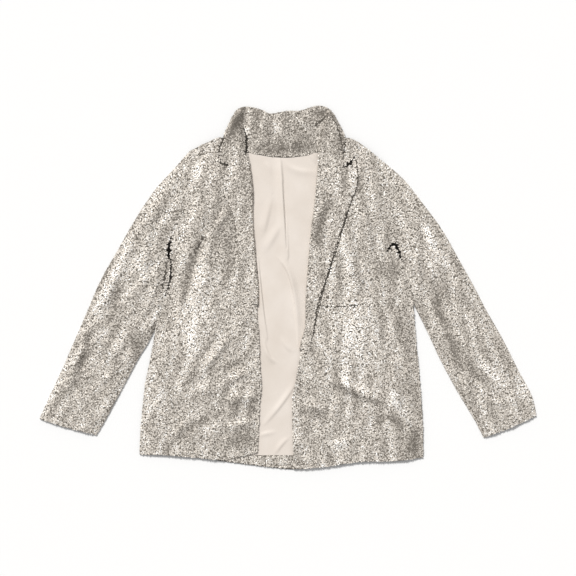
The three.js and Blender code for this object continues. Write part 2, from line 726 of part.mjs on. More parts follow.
const rightRollLine = sampled(curveThrough(COLLAR_RIGHT_ROLL), CURVE_SAMPLES);
const leftRollLine = sampled(curveThrough(COLLAR_LEFT_ROLL), CURVE_SAMPLES);
const collarFolds = prepareFolds(COLLAR_FOLDS);

// How far a place lies past a roll line, towards the given side
function pastRoll(line, side, x, y) {
  const nearest = nearestOn(line, x, y);
  const distance = side * nearest.side * nearest.distance - COLLAR_ROLL_SHIFT;
  return ease(-COLLAR_ROLL_WIDTH, COLLAR_ROLL_WIDTH, distance);
}

function collarFloor(x, y, u) {
  const leaf = Math.max(pastRoll(rightRollLine, -1, x, y), pastRoll(leftRollLine, 1, x, y));
  const pastShoulder = ease(COLLAR_DROP_FROM_Y, COLLAR_DROP_TO_Y, y);
  const drop = 1 - pastShoulder * ease(COLLAR_FLAT_SHARE, 1, u);
  const backFloor = BACK_TOP + SEAM_GAP;
  const raised = (COLLAR_LEAF_FLOOR - backFloor) * leaf * drop;
  const folded = (1 - leaf) * foldHeight(collarFolds, x, y) * ease(0, COLLAR_SEAM_SHARE, u);
  return backFloor + raised + folded;
}

function makeUpperCollar() {
  const above = (row) => ({ x: row.x, y: row.y + COLLAR_SEAM_SHIFT });
  const rightEnd = RIGHT_GORGE.map(above).reverse();
  const innerRows = [...rightEnd, ...COLLAR_NECK, ...LEFT_GORGE.map(above)];
  const inner = lineThrough(innerRows);
  const outer = curveThrough(COLLAR_OUTER);
  const edges = {
    bottom: (u) => mixPoints(inner(0), outer(0), u),
    top: (u) => mixPoints(inner(1), outer(1), u),
    start: inner,
    finish: outer,
  };
  const marks = splitMarks(rowMarks(innerRows), COLLAR_SPLIT);
  return patchWall(edges, evenMarks(COLLAR_WIDTH_STEPS), marks,
    (x, y, u) => collarFloor(x, y, u), SHELL_WALL);
}

function makeUnderCollar() {
  const raised = BACK_NECK.map((row) => ({ x: row.x, y: row.y + UNDER_COLLAR_SEAM_SHIFT }));
  const seam = lineThrough(raised);
  const edge = curveThrough(UNDER_COLLAR_EDGE);
  const edges = {
    bottom: (u) => mixPoints(seam(0), edge(0), u),
    top: (u) => mixPoints(seam(1), edge(1), u),
    start: seam,
    finish: edge,
  };
  const marks = splitMarks(rowMarks(raised), UNDER_COLLAR_SPLIT);
  return patchWall(edges, evenMarks(UNDER_COLLAR_WIDTH_STEPS), marks, () => 0, SHELL_WALL);
}

function makeLining() {
  const folds = prepareFolds(LINING_FOLDS);
  const edges = {
    bottom: curveThrough(LINING_HEM),
    top: curveThrough(LINING_NECK),
    start: curveThrough(LINING_RIGHT),
    finish: curveThrough(LINING_LEFT),
  };
  return patchWall(edges, evenMarks(LINING_WIDTH_STEPS), evenMarks(LINING_STEPS),
    (x, y) => LINING_FLOOR + foldHeight(folds, x, y), LINING_WALL);
}

function makeHemBand() {
  const top = curveThrough(HEM_BAND_TOP);
  const edge = curveThrough(HEM_BAND_EDGE);
  const edges = {
    bottom: edge,
    top,
    start: (v) => mixPoints(edge(0), top(0), v),
    finish: (v) => mixPoints(edge(1), top(1), v),
  };
  return patchWall(edges, evenMarks(HEM_BAND_STEPS), evenMarks(1), () => LINING_FLOOR, SHELL_WALL);
}

// Materials and assembly

const SEQUIN_CLOTH = { color: 0xc0b8af, roughness: 0.35, metalness: 0.6 };
const SATIN = { color: 0xe3dad1, roughness: 0.45, metalness: 0.0 };

const jacket = new THREE.Group();

function addPiece(name, geometry, finish) {
  const piece = new THREE.Mesh(geometry, new THREE.MeshStandardMaterial(finish));
  piece.name = name;
  jacket.add(piece);
}

addPiece("back", makeBack(), SEQUIN_CLOTH);
addPiece("back_lining", makeLining(), SATIN);
addPiece("back_hem_band", makeHemBand(), SEQUIN_CLOTH);
addPiece("right_front", makeFront(FRONTS.right), SEQUIN_CLOTH);
addPiece("left_front", makeFront(FRONTS.left), SEQUIN_CLOTH);
addPiece("right_lapel", makeLapel(FRONTS.right), SEQUIN_CLOTH);
addPiece("left_lapel", makeLapel(FRONTS.left), SEQUIN_CLOTH);
addPiece("under_collar", makeUnderCollar(), SEQUIN_CLOTH);
addPiece("upper_collar", makeUpperCollar(), SEQUIN_CLOTH);
addPiece("right_sleeve", makeSleeve(SLEEVES.right), SEQUIN_CLOTH);
addPiece("left_sleeve", makeSleeve(SLEEVES.left), SEQUIN_CLOTH);
for (const pocket of POCKETS) {
  addPiece(pocket.name, makePocket(pocket), SEQUIN_CLOTH);
}

export default jacket;
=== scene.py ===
# %% [markdown]
# # A sequinned open-front jacket, laid flat
#
# The garment is cut like a blazer: a back, two fronts with lapels, a notched collar, set-in
# sleeves, patch pockets and a satin lining. It lies face up with its sleeves spread. Every piece
# below is a surface worked out with numpy on a grid of two parameters, in the frame that the
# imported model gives. Lengths are in millimetres until a mesh is made.

import bpy
import numpy as np
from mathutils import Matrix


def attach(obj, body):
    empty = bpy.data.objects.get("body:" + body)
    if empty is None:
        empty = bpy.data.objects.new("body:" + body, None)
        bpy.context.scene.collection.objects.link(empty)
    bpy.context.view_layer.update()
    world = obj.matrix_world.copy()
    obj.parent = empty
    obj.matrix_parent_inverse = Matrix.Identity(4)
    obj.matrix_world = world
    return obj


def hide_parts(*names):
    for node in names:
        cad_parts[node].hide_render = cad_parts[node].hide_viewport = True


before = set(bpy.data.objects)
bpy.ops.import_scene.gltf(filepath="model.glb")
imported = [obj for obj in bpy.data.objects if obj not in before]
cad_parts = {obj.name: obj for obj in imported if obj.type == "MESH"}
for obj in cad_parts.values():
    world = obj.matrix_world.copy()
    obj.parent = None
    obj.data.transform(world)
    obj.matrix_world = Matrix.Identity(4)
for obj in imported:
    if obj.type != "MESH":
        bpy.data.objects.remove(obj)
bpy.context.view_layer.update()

scene = bpy.context.scene
MM = 0.001
print("nodes in the frame:", sorted(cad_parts))

# %% [markdown]
# ## Camera, floor and light
#
# The jacket was photographed from straight above. A long lens at a good height keeps the picture
# free of perspective, and 576 pixels of 2 mm make the width of the frame. The floor is plain and
# pale. One large soft light comes from beyond the wearer's right shoulder, so each sequin that
# leans that way glints and each fold has a darker flank, and a pale sky fills the rest.

# %% Camera
PIXEL = 2.0
FRAME_PIXELS = 576
LENS = 100.0
SENSOR = 36.0
CAMERA_CENTRE_Y = -1.0
CLOTH_MIDDLE = 6.0

camera_data = bpy.data.cameras.new("overhead")
camera_data.lens = LENS
camera_data.sensor_width = SENSOR
camera = bpy.data.objects.new("overhead", camera_data)
distance = PIXEL * FRAME_PIXELS * LENS / SENSOR
camera.location = (0.0, CAMERA_CENTRE_Y * MM, (distance + CLOTH_MIDDLE) * MM)
scene.collection.objects.link(camera)
scene.camera = camera
scene.view_settings.view_transform = "Standard"
print("camera height in metres:", round(camera.location.z, 3))


# %% Floor and light
def new_material(name, **sockets):
    """A material whose shader has the given sockets set, and its node tree and shader."""
    material = bpy.data.materials.new(name)
    material.use_nodes = True
    shader = material.node_tree.nodes["Principled BSDF"]
    for socket, value in sockets.items():
        shader.inputs[socket.replace("_", " ")].default_value = value
    return material, material.node_tree, shader


def far_light(name, place, spread, power, colour):
    """A soft light so far off that it comes from the same side everywhere."""
    data = bpy.data.lights.new(name, "SUN")
    data.angle = np.radians(spread)
    data.energy = power
    data.color = colour
    light = bpy.data.objects.new(name, data)
    light.location = place
    light.rotation_mode = "QUATERNION"
    light.rotation_quaternion = light.location.to_track_quat("Z", "Y")
    scene.collection.objects.link(light)


FLOOR_HALF = 20.0
FLOOR_DROP = 0.0002
FLOOR_COLOUR = (0.92, 0.92, 0.92, 1)
SKY_STRENGTH = 0.42
floor_mesh = bpy.data.meshes.new("floor")
corners = [(-FLOOR_HALF, -FLOOR_HALF, 0), (FLOOR_HALF, -FLOOR_HALF, 0),
           (FLOOR_HALF, FLOOR_HALF, 0), (-FLOOR_HALF, FLOOR_HALF, 0)]
floor_mesh.from_pydata(corners, [], [(0, 1, 2, 3)])
floor = bpy.data.objects.new("floor", floor_mesh)
floor.location.z = -FLOOR_DROP
scene.collection.objects.link(floor)
floor_paint, _, _ = new_material("floor_paint", Base_Color=FLOOR_COLOUR, Roughness=0.9)
floor_mesh.materials.append(floor_paint)

world = bpy.data.worlds.new("studio")
world.use_nodes = True
world.node_tree.nodes["Background"].inputs["Color"].default_value = (1.0, 1.0, 1.0, 1)
world.node_tree.nodes["Background"].inputs["Strength"].default_value = SKY_STRENGTH
scene.world = world

far_light("key", place=(-1.6, 3.3, 3.6), spread=16.0, power=3.0, colour=(1.0, 0.99, 0.975))
print("stage is set")

# %% [markdown]
# ## Curves, patches and folds
#
# A garment's pieces are bounded by seams and edges. Each is a smooth curve through a few points
# read off the flat jacket. A piece is the patch between four such curves. Creases could be
# sculpted or simulated, but placed one by one, each as a soft ridge or trough along a parabola,
# they stay where the real ones are.

# %% Tables and curves
TIPS = np.array([0.0, 1.0])


def table(columns, *rows):
    """Rows of numbers under named columns, as an array with a column for each name."""
    values = np.array(rows, dtype=float)
    if values.shape[1] != len(columns.split()):
        raise ValueError(columns)
    return values


def mix(a, b, share):
    """a at share 0, b at share 1, and straight between them."""
    return a + (b - a) * share


def ease(low, high, value):
    """0 below low, 1 above high, and 3t^2 - 2t^3 between, t being the share of the way."""
    t = np.clip((value - low) / (high - low), 0.0, 1.0)
    return t * t * (3 - 2 * t)


def chord_marks(points):
    """The length run along the points at each of them."""
    return np.concatenate([[0.0], np.cumsum(np.linalg.norm(np.diff(points, axis=0), axis=1))])


def line_through(points):
    """Straight pieces through the points, read from 0 to 1 by length."""
    marks = marks_of(points)
    return lambda t: np.stack([np.interp(t, marks, points[:, 0]),
                               np.interp(t, marks, points[:, 1])], -1)


def curve_through(points):
    """A cubic through the points, read from 0 to 1 by chord length.

    Between two points it is the Hermite blend of both places and both slopes, and a slope is
    the step between the neighbours over the chord length between them.
    """
    marks = chord_marks(points)
    order = np.arange(len(points))
    before, after = np.maximum(order - 1, 0), np.minimum(order + 1, len(points) - 1)
    slopes = (points[after] - points[before]) / (marks[after] - marks[before])[:, None]

    def at(t):
        mark = np.clip(t, 0.0, 1.0) * marks[-1]
        i = np.clip(np.searchsorted(marks, mark) - 1, 0, len(points) - 2)
        span = (marks[i + 1] - marks[i])[..., None]
        s = (mark - marks[i])[..., None] / span
        return ((2 * s**3 - 3 * s**2 + 1) * points[i]
                + (s**3 - 2 * s**2 + s) * span * slopes[i]
                + (3 * s**2 - 2 * s**3) * points[i + 1]
                + (s**3 - s**2) * span * slopes[i + 1])

    return at


def join_curves(first, second, share):
    """Two curves end to end: the first up to the share given, the second after it."""
    return lambda t: np.where((t <= share)[..., None], first(np.minimum(t / share, 1)),
                              second(np.maximum((t - share) / (1 - share), 0)))


def side_between(first, second, tip):
    """The straight side between two curves, at their starts for tip 0 and finishes for tip 1."""
    places = first(TIPS)[tip], second(TIPS)[tip]
    return lambda t: mix(*places, t[..., None])


def edges_between(start, finish):
    """Four edges: two curves, and the straight sides that join them at both ends."""
    return {"start": start, "finish": finish,
            "bottom": side_between(start, finish, 0), "top": side_between(start, finish, 1)}


def marks_of(points):
    """Share of the whole length at each point."""
    marks = chord_marks(points)
    return marks / marks[-1]


def split_marks(marks, steps):
    """The marks with each span cut into equal steps."""
    spans = [np.linspace(a, b, steps + 1)[1:] for a, b in zip(marks[:-1], marks[1:])]
    return np.concatenate([marks[:1], *spans])


def even(steps):
    """Shares 0 to 1 in equal steps."""
    return np.linspace(0.0, 1.0, steps + 1)


# %% Patches
BEND_FADE = 3


def patch(edges, u, v):
    """Places for every row v and column u inside four edges.

    A row runs straight from start(v) to finish(v). The bends of the bottom and top edges are
    added to it, times (1 - v)^3 and v^3. u has one value a column, or one a row and column.
    """
    u = np.broadcast_to(u, (len(v), np.shape(u)[-1]))
    start, finish = edges["start"](v), edges["finish"](v)
    places = start[:, None] + (finish - start)[:, None] * u[..., None]
    for name, weight in (("bottom", (1 - v) ** BEND_FADE), ("top", v ** BEND_FADE)):
        edge = edges[name]
        first, last = edge(TIPS)
        bend = edge(u) - mix(first, last, u[..., None])
        places = places + weight[:, None, None] * bend
    return places


def lift(places, heights):
    """Places with their heights, as points."""
    return np.concatenate([places, heights[..., None]], -1)


# %% Folds
FOLD_COLUMNS = "x0 y0 x1 y1 x2 y2 left right height"
FOLD_SAMPLES = 16
FOLD_END = 0.25
TINY = 1e-9
WAVES = 9
WAVE_LENGTHS = (0.7, 2.0)
WAVE_TURN = 0.38


def nearest_on(line, places):
    """Distance, share of the way along and side of the nearest place on a chain of points.

    The least distance to its straight pieces counts. The side is above 0 towards +X of a line
    that runs down.
    """
    steps = np.diff(line, axis=0)
    away = places[..., None, :] - line[:-1]
    share = np.clip((away * steps).sum(-1) / np.maximum((steps**2).sum(-1), TINY), 0.0, 1.0)
    off = away - share[..., None] * steps
    gaps = np.hypot(off[..., 0], off[..., 1])
    sides = np.sign(steps[:, 0] * away[..., 1] - steps[:, 1] * away[..., 0])
    best = gaps.argmin(-1)[..., None]
    gap, part, side = (np.take_along_axis(a, best, -1)[..., 0] for a in (gaps, share, sides))
    return gap, (best[..., 0] + part) / len(steps), side


def parabola(line):
    """Points of (1 - t)^2 first + 2t (1 - t) control + t^2 last, which passes turn halfway.

    The line holds x and y of first, turn and last. The control is 2 turn - (first + last) / 2.
    """
    first, turn, last = np.reshape(line, (3, 2))
    t = even(FOLD_SAMPLES)[:, None]
    return (1 - t) ** 2 * first + 2 * t * (1 - t) * (2 * turn - (first + last) / 2) + t**2 * last


def fold_height(folds, places, end=FOLD_END):
    """Sum of height * along * exp(-(distance / width)^2) over the folds.

    A fold's line is the parabola through its three points, along grows from the end share at
    its ends to 1 in the middle by a sine, and the width is the left or right one by the side.
    """
    total = np.zeros(places.shape[:-1])
    for *line, left, right, height in folds:
        gap, share, side = nearest_on(parabola(line), places)
        width = np.where(side < 0, left, right)
        along = mix(end, 1.0, np.sin(np.pi * share))
        total += height * along * np.exp(-((gap / width) ** 2))
    return total


def ripples(places, heading, length, height, seed):
    """Soft uneven waves: a sum of sines whose crests run square to the heading, more or less.

    Each sine has its own phase, its own turn and its own wave length, which is the length times
    a share between the two WAVE_LENGTHS.
    """
    random = np.random.default_rng(seed)
    turn = np.radians(heading) + random.normal(0.0, WAVE_TURN, WAVES)
    number = 2 * np.pi / (length * random.uniform(*WAVE_LENGTHS, WAVES))
    phase = random.uniform(0.0, 2 * np.pi, WAVES)
    waves = places @ (number * np.stack([np.cos(turn), np.sin(turn)])) + phase
    return height * np.sin(waves).sum(-1) / np.sqrt(WAVES / 2)


# %% [markdown]
# ## Making the meshes
#
# Cloth is a thin shell: an upper and a lower surface from the same places, joined all round by a
# narrow rim, so that it is closed. A sleeve is the same with rings in place of rows. The faces
# are index arithmetic on the grid, done for all of them at once.

# %% Shells and tubes
SHARP = np.radians(50)
DOWNWARD = 0.3


def make_mesh(name, points, faces, material):
    """An object at the origin from points in millimetres and faces of equally many corners."""
    mesh = bpy.data.meshes.new(name)
    mesh.vertices.add(len(points))
    mesh.vertices.foreach_set("co", (points * MM).ravel())
    mesh.loops.add(faces.size)
    mesh.loops.foreach_set("vertex_index", faces.ravel())
    mesh.polygons.add(len(faces))
    mesh.polygons.foreach_set("loop_start", np.arange(len(faces)) * faces.shape[1])
    mesh.update(calc_edges=True)
    mesh.validate()
    mesh.materials.append(material)
    piece = bpy.data.objects.new(name, mesh)
    scene.collection.objects.link(piece)
    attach(piece, "root")
    return piece


def grid_faces(index):
    """Faces of a grid of vertex numbers, one for each four neighbours."""
    return np.stack([index[:-1, :-1], index[:-1, 1:], index[1:, 1:], index[1:, :-1]], -1) \
        .reshape(-1, 4)


def outward(points, faces):
    """The faces, turned round if the volume that they enclose comes out below 0."""
    a, b, c, d = (points[faces[:, k]] for k in range(4))
    volume = (a * np.cross(b, c)).sum() + (a * np.cross(c, d)).sum()
    return faces if volume > 0 else faces[:, ::-1]


def finish_smooth(piece):
    """Smooth shading, with the rims left sharp."""
    piece.data.polygons.foreach_set("use_smooth", np.ones(len(piece.data.polygons), dtype=bool))
    piece.data.set_sharp_from_angle(angle=SHARP)
    return piece


def shell(name, upper, lower, material):
    """A closed thin shell between two grids of points, with a rim along the four edges."""
    rows, columns = upper.shape[:2]
    top = np.arange(rows * columns).reshape(rows, columns)
    under = top + rows * columns
    around = np.concatenate([top[0, :-1], top[:-1, -1], top[-1, :0:-1], top[:0:-1, 0]])
    beyond = np.roll(around, -1)
    rim = np.stack([around, around + rows * columns, beyond + rows * columns, beyond], -1)
    faces = np.concatenate([grid_faces(top), grid_faces(under)[:, ::-1], rim])
    points = np.concatenate([upper.reshape(-1, 3), lower.reshape(-1, 3)])
    return finish_smooth(make_mesh(name, points, outward(points, faces), material))


def tube(name, outer, inner, material):
    """A closed wall between two stacks of rings, open through its middle."""
    rings, around = outer.shape[:2]
    out = np.arange(rings * around).reshape(rings, around)
    out = np.concatenate([out, out[:, :1]], 1)
    into = out + rings * around
    first = np.stack([out[0, :-1], into[0, :-1], into[0, 1:], out[0, 1:]], -1)
    last = np.stack([out[-1, :-1], out[-1, 1:], into[-1, 1:], into[-1, :-1]], -1)
    faces = np.concatenate([grid_faces(out), grid_faces(into)[:, ::-1], first, last])
    points = np.concatenate([outer.reshape(-1, 3), inner.reshape(-1, 3)])
    return finish_smooth(make_mesh(name, points, outward(points, faces), material))


def face_down(piece, material):
    """The material on every face that points down."""
    polygons = piece.data.polygons
    normals = np.empty(len(polygons) * 3, dtype=np.float32)
    polygons.foreach_get("normal", normals)
    piece.data.materials.append(material)
    downward = normals.reshape(-1, 3)[:, 2] < -DOWNWARD
    polygons.foreach_set("material_index", downward.astype(np.int32))


def cell_areas(surface):
    """Areas of a grid's cells: half the length of the cross product of both diagonals."""
    across = surface[1:, 1:] - surface[:-1, :-1]
    back = surface[1:, :-1] - surface[:-1, 1:]
    return 0.5 * np.linalg.norm(np.cross(across, back), axis=-1)


# %% [markdown]
# ## Finishes
#
# The cloth is a knitted mesh that carries thousands of small flat sequins. The sequins are real
# discs, each at its own tilt, of a champagne metal. The mesh under them is matt and darker. Where
# the garment lies on the floor the sequins are only in the material: cells of about one size,
# each with its own tone and slope. The lining is a pale satin with a fine weave.


# %% Sequin metal
def add_node(tree, kind, values=None, **settings):
    """A node with its settings made and the given input values set."""
    node = tree.nodes.new(kind)
    for name, setting in settings.items():
        setattr(node, name, setting)
    for name, value in (values or {}).items():
        node.inputs[name].default_value = value
    return node


def wire(tree, start, output, end, entry):
    """A link from one node's output to another's entry."""
    tree.links.new(start.outputs[output], end.inputs[entry])


def add_relief(tree, shader, source, output, strength, depth):
    """A bump of the shader's surface by the output of a node."""
    bump = add_node(tree, "ShaderNodeBump", {"Strength": strength, "Distance": depth})
    wire(tree, source, output, bump, "Height")
    wire(tree, bump, "Normal", shader, "Normal")


def add_ramp(tree, stops):
    """A colour ramp through (place, colour) stops."""
    ramp = add_node(tree, "ShaderNodeValToRGB")
    elements = ramp.color_ramp.elements
    while len(elements) < len(stops):
        elements.new(0.5)
    for element, (place, colour) in zip(elements, stops):
        element.position = place
        element.color = (*colour, 1.0)
    return ramp


sequin_metal, tree, shader = new_material("sequin_metal", Metallic=0.38, Roughness=0.6)
# The attribute read here is a random tone plus a painted highlight where strokes and waves push
# the disc towards the light, and painted shade where they push it away.
tone_and_painted_light = add_node(tree, "ShaderNodeAttribute", attribute_name="tone_and_painted_light")
tones = add_ramp(tree, [(0.0, (0.34, 0.305, 0.265)), (0.2, (0.60, 0.55, 0.49)),
                        (0.6, (0.735, 0.68, 0.61)), (0.9, (0.87, 0.82, 0.755)),
                        (1.0, (1.0, 0.98, 0.95))])
wire(tree, tone_and_painted_light, "Fac", tones, "Fac")
wire(tree, tones, "Color", shader, "Base Color")

# %% Mesh ground
mesh_ground, tree, shader = new_material("mesh_ground", Roughness=0.85, Specular_IOR_Level=0.1)
place = add_node(tree, "ShaderNodeTexCoord")
knit = add_node(tree, "ShaderNodeTexVoronoi", {"Scale": 650.0}, feature="F1")
shades = add_ramp(tree, [(0.0, (0.09, 0.079, 0.066)), (0.6, (0.19, 0.17, 0.145)),
                         (1.0, (0.28, 0.25, 0.215))])
# The pinch attribute mixes the mesh towards near black: a painted shadow in the pinched slits.
pinch_shadow_amount = add_node(tree, "ShaderNodeAttribute", attribute_name="pinch")
pinch_painted_shadow = add_node(tree, "ShaderNodeMix", data_type="RGBA")
pinch_painted_shadow.inputs["B"].default_value = (0.006, 0.005, 0.004, 1)
wire(tree, place, "Object", knit, "Vector")
wire(tree, knit, "Distance", shades, "Fac")
wire(tree, pinch_shadow_amount, "Fac", pinch_painted_shadow, "Factor")
wire(tree, shades, "Color", pinch_painted_shadow, "A")
wire(tree, pinch_painted_shadow, "Result", shader, "Base Color")
add_relief(tree, shader, knit, "Distance", strength=0.6, depth=0.0006)

# %% Sequins seen only in the material
sequin_cells, tree, shader = new_material("sequin_cells", Metallic=0.5, Roughness=0.45)
place = add_node(tree, "ShaderNodeTexCoord")
cells = add_node(tree, "ShaderNodeTexVoronoi", {"Scale": 380.0}, feature="F1")
split = add_node(tree, "ShaderNodeSeparateColor")
shades = add_ramp(tree, [(0.0, (0.28, 0.25, 0.22)), (0.3, (0.55, 0.50, 0.45)),
                         (0.8, (0.74, 0.69, 0.63)), (1.0, (0.92, 0.89, 0.85))])
wire(tree, place, "Object", cells, "Vector")
wire(tree, cells, "Color", split, "Color")
wire(tree, split, "Red", shades, "Fac")
wire(tree, shades, "Color", shader, "Base Color")
add_relief(tree, shader, cells, "Distance", strength=0.9, depth=0.0008)

# %% Satin
satin, tree, shader = new_material("satin", Roughness=0.5, Sheen_Weight=0.2, Sheen_Roughness=0.4)
place = add_node(tree, "ShaderNodeTexCoord")
weave = add_node(tree, "ShaderNodeTexWave", {"Scale": 700.0, "Distortion": 1.5},
                 wave_type="BANDS", bands_direction="X")
cloudy = add_node(tree, "ShaderNodeTexNoise", {"Scale": 14.0, "Detail": 3.0})
shades = add_ramp(tree, [(0.3, (0.72, 0.645, 0.575)), (0.7, (0.80, 0.73, 0.665))])
wire(tree, place, "Object", weave, "Vector")
wire(tree, place, "Object", cloudy, "Vector")
wire(tree, cloudy, "Fac", shades, "Fac")
wire(tree, shades, "Color", shader, "Base Color")
add_relief(tree, shader, weave, "Fac", strength=0.12, depth=0.0002)
print("materials:", [m.name for m in bpy.data.materials if m.users])

# %% [markdown]
# ## Brushed sequins
#
# Sequins lie over to one side where a hand, a fold or a pocket has pushed them, and stay so. Seen
# from above such a stroke is a lighter or a darker streak with no height of its own. Painting the
# streaks in a colour alone would leave them the same from everywhere. Here each stroke is a line
# with a width and a lean, and the discs near it lean that much towards the light, or away from it.
# The same lean also paints their tone lighter towards the light and darker away from it: a painted
# highlight and painted shade on top of the real tilt. Besides, they lie in faint uneven streaks
# along the fall of the cloth, a sum of waves, which tilt the discs and paint their tone in the
# same way.

# %% Strokes
STROKE_COLUMNS = "x0 y0 x1 y1 x2 y2 width lean"
STROKE_END = 0.7
TOWARDS_LIGHT = np.array([-0.44, 0.9, 0.0])
# A stroke is read as a fold that is as wide on the left as on the right.
STROKE_AS_FOLD = [0, 1, 2, 3, 4, 5, 6, 6, 7]
# A stroke's lean tilts its discs and also paints their tone lighter towards the light and darker
# away from it: painted highlight and painted shade.
STROKES = {
    "left_front": (
        (108, 98, 120, 50, 136, 0, 8, 0.2),
        (114, -186, 140, -200, 170, -216, 10, 0.14),
        (130, -60, 136, -100, 128, -145, 36, 0.17),
        (84, -194, 128, -208, 184, -232, 7, -0.12),
        (30, -247, 50, -250, 70, -256, 9, -0.14),
        (254, -298, 248, -318, 242, -336, 15, -0.3),
        (200, -24, 220, -68, 226, -102, 9, -0.15),
        (244, -80, 254, -160, 258, -250, 9, -0.12),
        (186, -266, 206, -261, 226, -278, 8, -0.22),
        (196, 36, 220, 36, 236, 30, 22, -0.2),
        (94, -316, 106, -312, 118, -308, 11, 0.22),
        (136, 230, 136, 208, 136, 188, 5, -0.2),
        (212, -212, 218, -232, 222, -252, 8, 0.2),
    ),
    "left_lapel": (
        (84, 164, 64, 130, 60, 88, 9, -0.28),
    ),
    "right_front": (
        (-180, 238, -180, 230, -178, 224, 10, 0.26),
        (-176, 50, -170, 30, -166, 4, 14, 0.16),
        (-182, -20, -192, -60, -196, -112, 24, 0.2),
        (-172, 92, -190, 48, -214, -28, 9, -0.2),
        (-100, -150, -112, -155, -124, -160, 7, -0.22),
        (-120, -234, -88, -240, -64, -250, 18, -0.12),
        (-124, -314, -96, -304, -64, -300, 14, -0.2),
        (-140, -256, -176, -270, -216, -304, 8, -0.16),
        (-164, -284, -160, -282, -156, -280, 10, 0.2),
        (-246, -206, -260, -222, -274, -246, 10, 0.16),
        (-116, 230, -122, 150, -112, 60, 36, -0.12),
    ),
    "right_lapel": (
        (-106, 86, -106, 56, -98, 32, 10, -0.24),
        (-86, 236, -84, 195, -88, 156, 10, -0.16),
    ),
    "right_sleeve": (
        (-322, 76, -348, 16, -378, -48, 20, 0.18),
        (-300, 145, -352, 54, -412, -72, 8, -0.16),
        (-290, 50, -294, 36, -290, 24, 11, 0.22),
        (-340, 8, -344, -34, -360, -74, 9, -0.22),
        (-398, -94, -406, -132, -426, -196, 9, -0.2),
        (-310, -94, -306, -114, -304, -130, 11, -0.2),
    ),
    "left_sleeve": (
        (278, 116, 294, 72, 312, 48, 9, 0.24),
        (388, -158, 408, -172, 426, -192, 10, 0.22),
        (480, -194, 468, -206, 460, -220, 13, 0.2),
        (300, 0, 300, -36, 306, -76, 12, -0.2),
        (318, -102, 334, -122, 340, -144, 13, -0.24),
        (346, -156, 366, -164, 382, -184, 10, -0.18),
    ),
    "collar": (
        (-92, 328, -82, 314, -76, 300, 6, 0.14),
        (-24, 328, -20, 316, -14, 310, 10, 0.2),
        (12, 342, 28, 328, 40, 316, 7, 0.16),
        (-94, 360, -98, 346, -104, 330, 13, -0.36),
        (-104, 330, -112, 314, -118, 302, 9, -0.26),
        (64, 346, 76, 348, 86, 344, 10, -0.3),
        (-52, 276, 0, 278, 48, 284, 11, -0.22),
        (104, 298, 114, 280, 116, 264, 9, -0.18),
        (-96, 310, 0, 318, 90, 308, 55, -0.14),
    ),
}
BRUSHED = {panel: table(STROKE_COLUMNS, *rows)[:, STROKE_AS_FOLD]
           for panel, rows in STROKES.items()}
print("strokes:", sum(len(rows) for rows in STROKES.values()))

# %% [markdown]
# ## Pinches
#
# Where the cloth is pinched shut or turns under, no sequins face up and the mesh shows. A slit
# could be cut into the cloth, but the real one isn't cut. Here each pinch is a line with a width,
# inside which no disc is sewn on, and a depth that tells how dark a shadow is painted on the mesh
# there, standing in for the shade of the slit.

# %% Pinches
# A pinch's depth is how dark a shadow is painted on the mesh inside it.
PINCH_COLUMNS = "x0 y0 x1 y1 x2 y2 width depth"
PINCH_END = 0.3
PINCH_REACH = 2.0
PINCHES = table(
    PINCH_COLUMNS,
    (-235, 96, -239, 76, -237, 56, 3.6, 1),
    (-237, 62, -235, 24, -246, -18, 2.1, 0.9),
    (-242, 58, -246, 24, -256, -22, 1.5, 0.5),
    (-168, 98, -178, 84, -186, 68, 1.8, 0.5),
    (198, 71, 214, 86, 227, 54, 3.4, 1),
    (-90, 324, -83, 290, -86, 262, 2.2, 0.8),
    (46, 320, 68, 334, 84, 353, 1.6, 0.4),
    (-143, 253, -130, 247, -118, 243, 2.6, 0.6),
    (112, 240, 122, 247, 133, 260, 3.0, 0.9),
    (62, -37, 108, -38, 150, -34, 1.5, 0.4),
    (-123, 305, -135, 282, -138, 258, 1.7, 0.5),
    (118, 150, 80, 28, 48, -104, 1.3, 0.4),
    (88, 343, 106, 296, 106, 260, 1.3, 0.4),
)


def past_pinches(places):
    """How far each place lies outside the nearest pinch, below 0 inside one, and its depth, which
    is how dark a shadow is painted there.

    A pinch is widest in its middle and narrows to PINCH_END of that at its ends by a sine.
    """
    outside, depths = np.full(places.shape[:-1], np.inf), np.zeros(places.shape[:-1])
    for *line, width, depth in PINCHES:
        gap, share, _ = nearest_on(parabola(line), places)
        past = gap - width * mix(PINCH_END, 1.0, np.sin(np.pi * share))
        depths = np.where(past < outside, depth, depths)
        outside = np.minimum(outside, past)
    return outside, depths


def paint_pinch_shadows(piece):
    """The attribute "pinch" on every vertex: the depth of the nearest pinch, a painted shadow that
    darkens the mesh towards black.

    It holds up to PINCH_REACH past the pinch, and eases to 0 at twice that.
    """
    vertices = piece.data.vertices
    points = np.empty(len(vertices) * 3, dtype=np.float32)
    vertices.foreach_get("co", points)
    past, depth = past_pinches(points.reshape(-1, 3)[:, :2] / MM)
    mark = piece.data.attributes.new("pinch", "FLOAT", "POINT")
    mark.data.foreach_set("value", depth * (1 - ease(PINCH_REACH, 2 * PINCH_REACH, past)))


# %% [markdown]
# ## Sewing on sequins
#
# On the real cloth the sequins overlap a little and never lie quite flat. Placing them by hand is
# hopeless, so each block of the surface gets as many as its area asks for, spread by a sequence
# that keeps them apart, and each disc gets its own spin, tilt and tone. They are one mesh for each
# panel, of flat discs with six corners.

# %% Sequins
SEQUIN_RADIUS = 1.5
SEQUIN_SIZES = (0.88, 1.1)
SEQUIN_CORNERS = 6
SEQUIN_SHARE = 4.6
SEQUIN_LIFT = 0.35
SEQUIN_LOOSENESS = 0.3
SEQUIN_LOWEST = 0.1
SEQUIN_TILT = 0.15
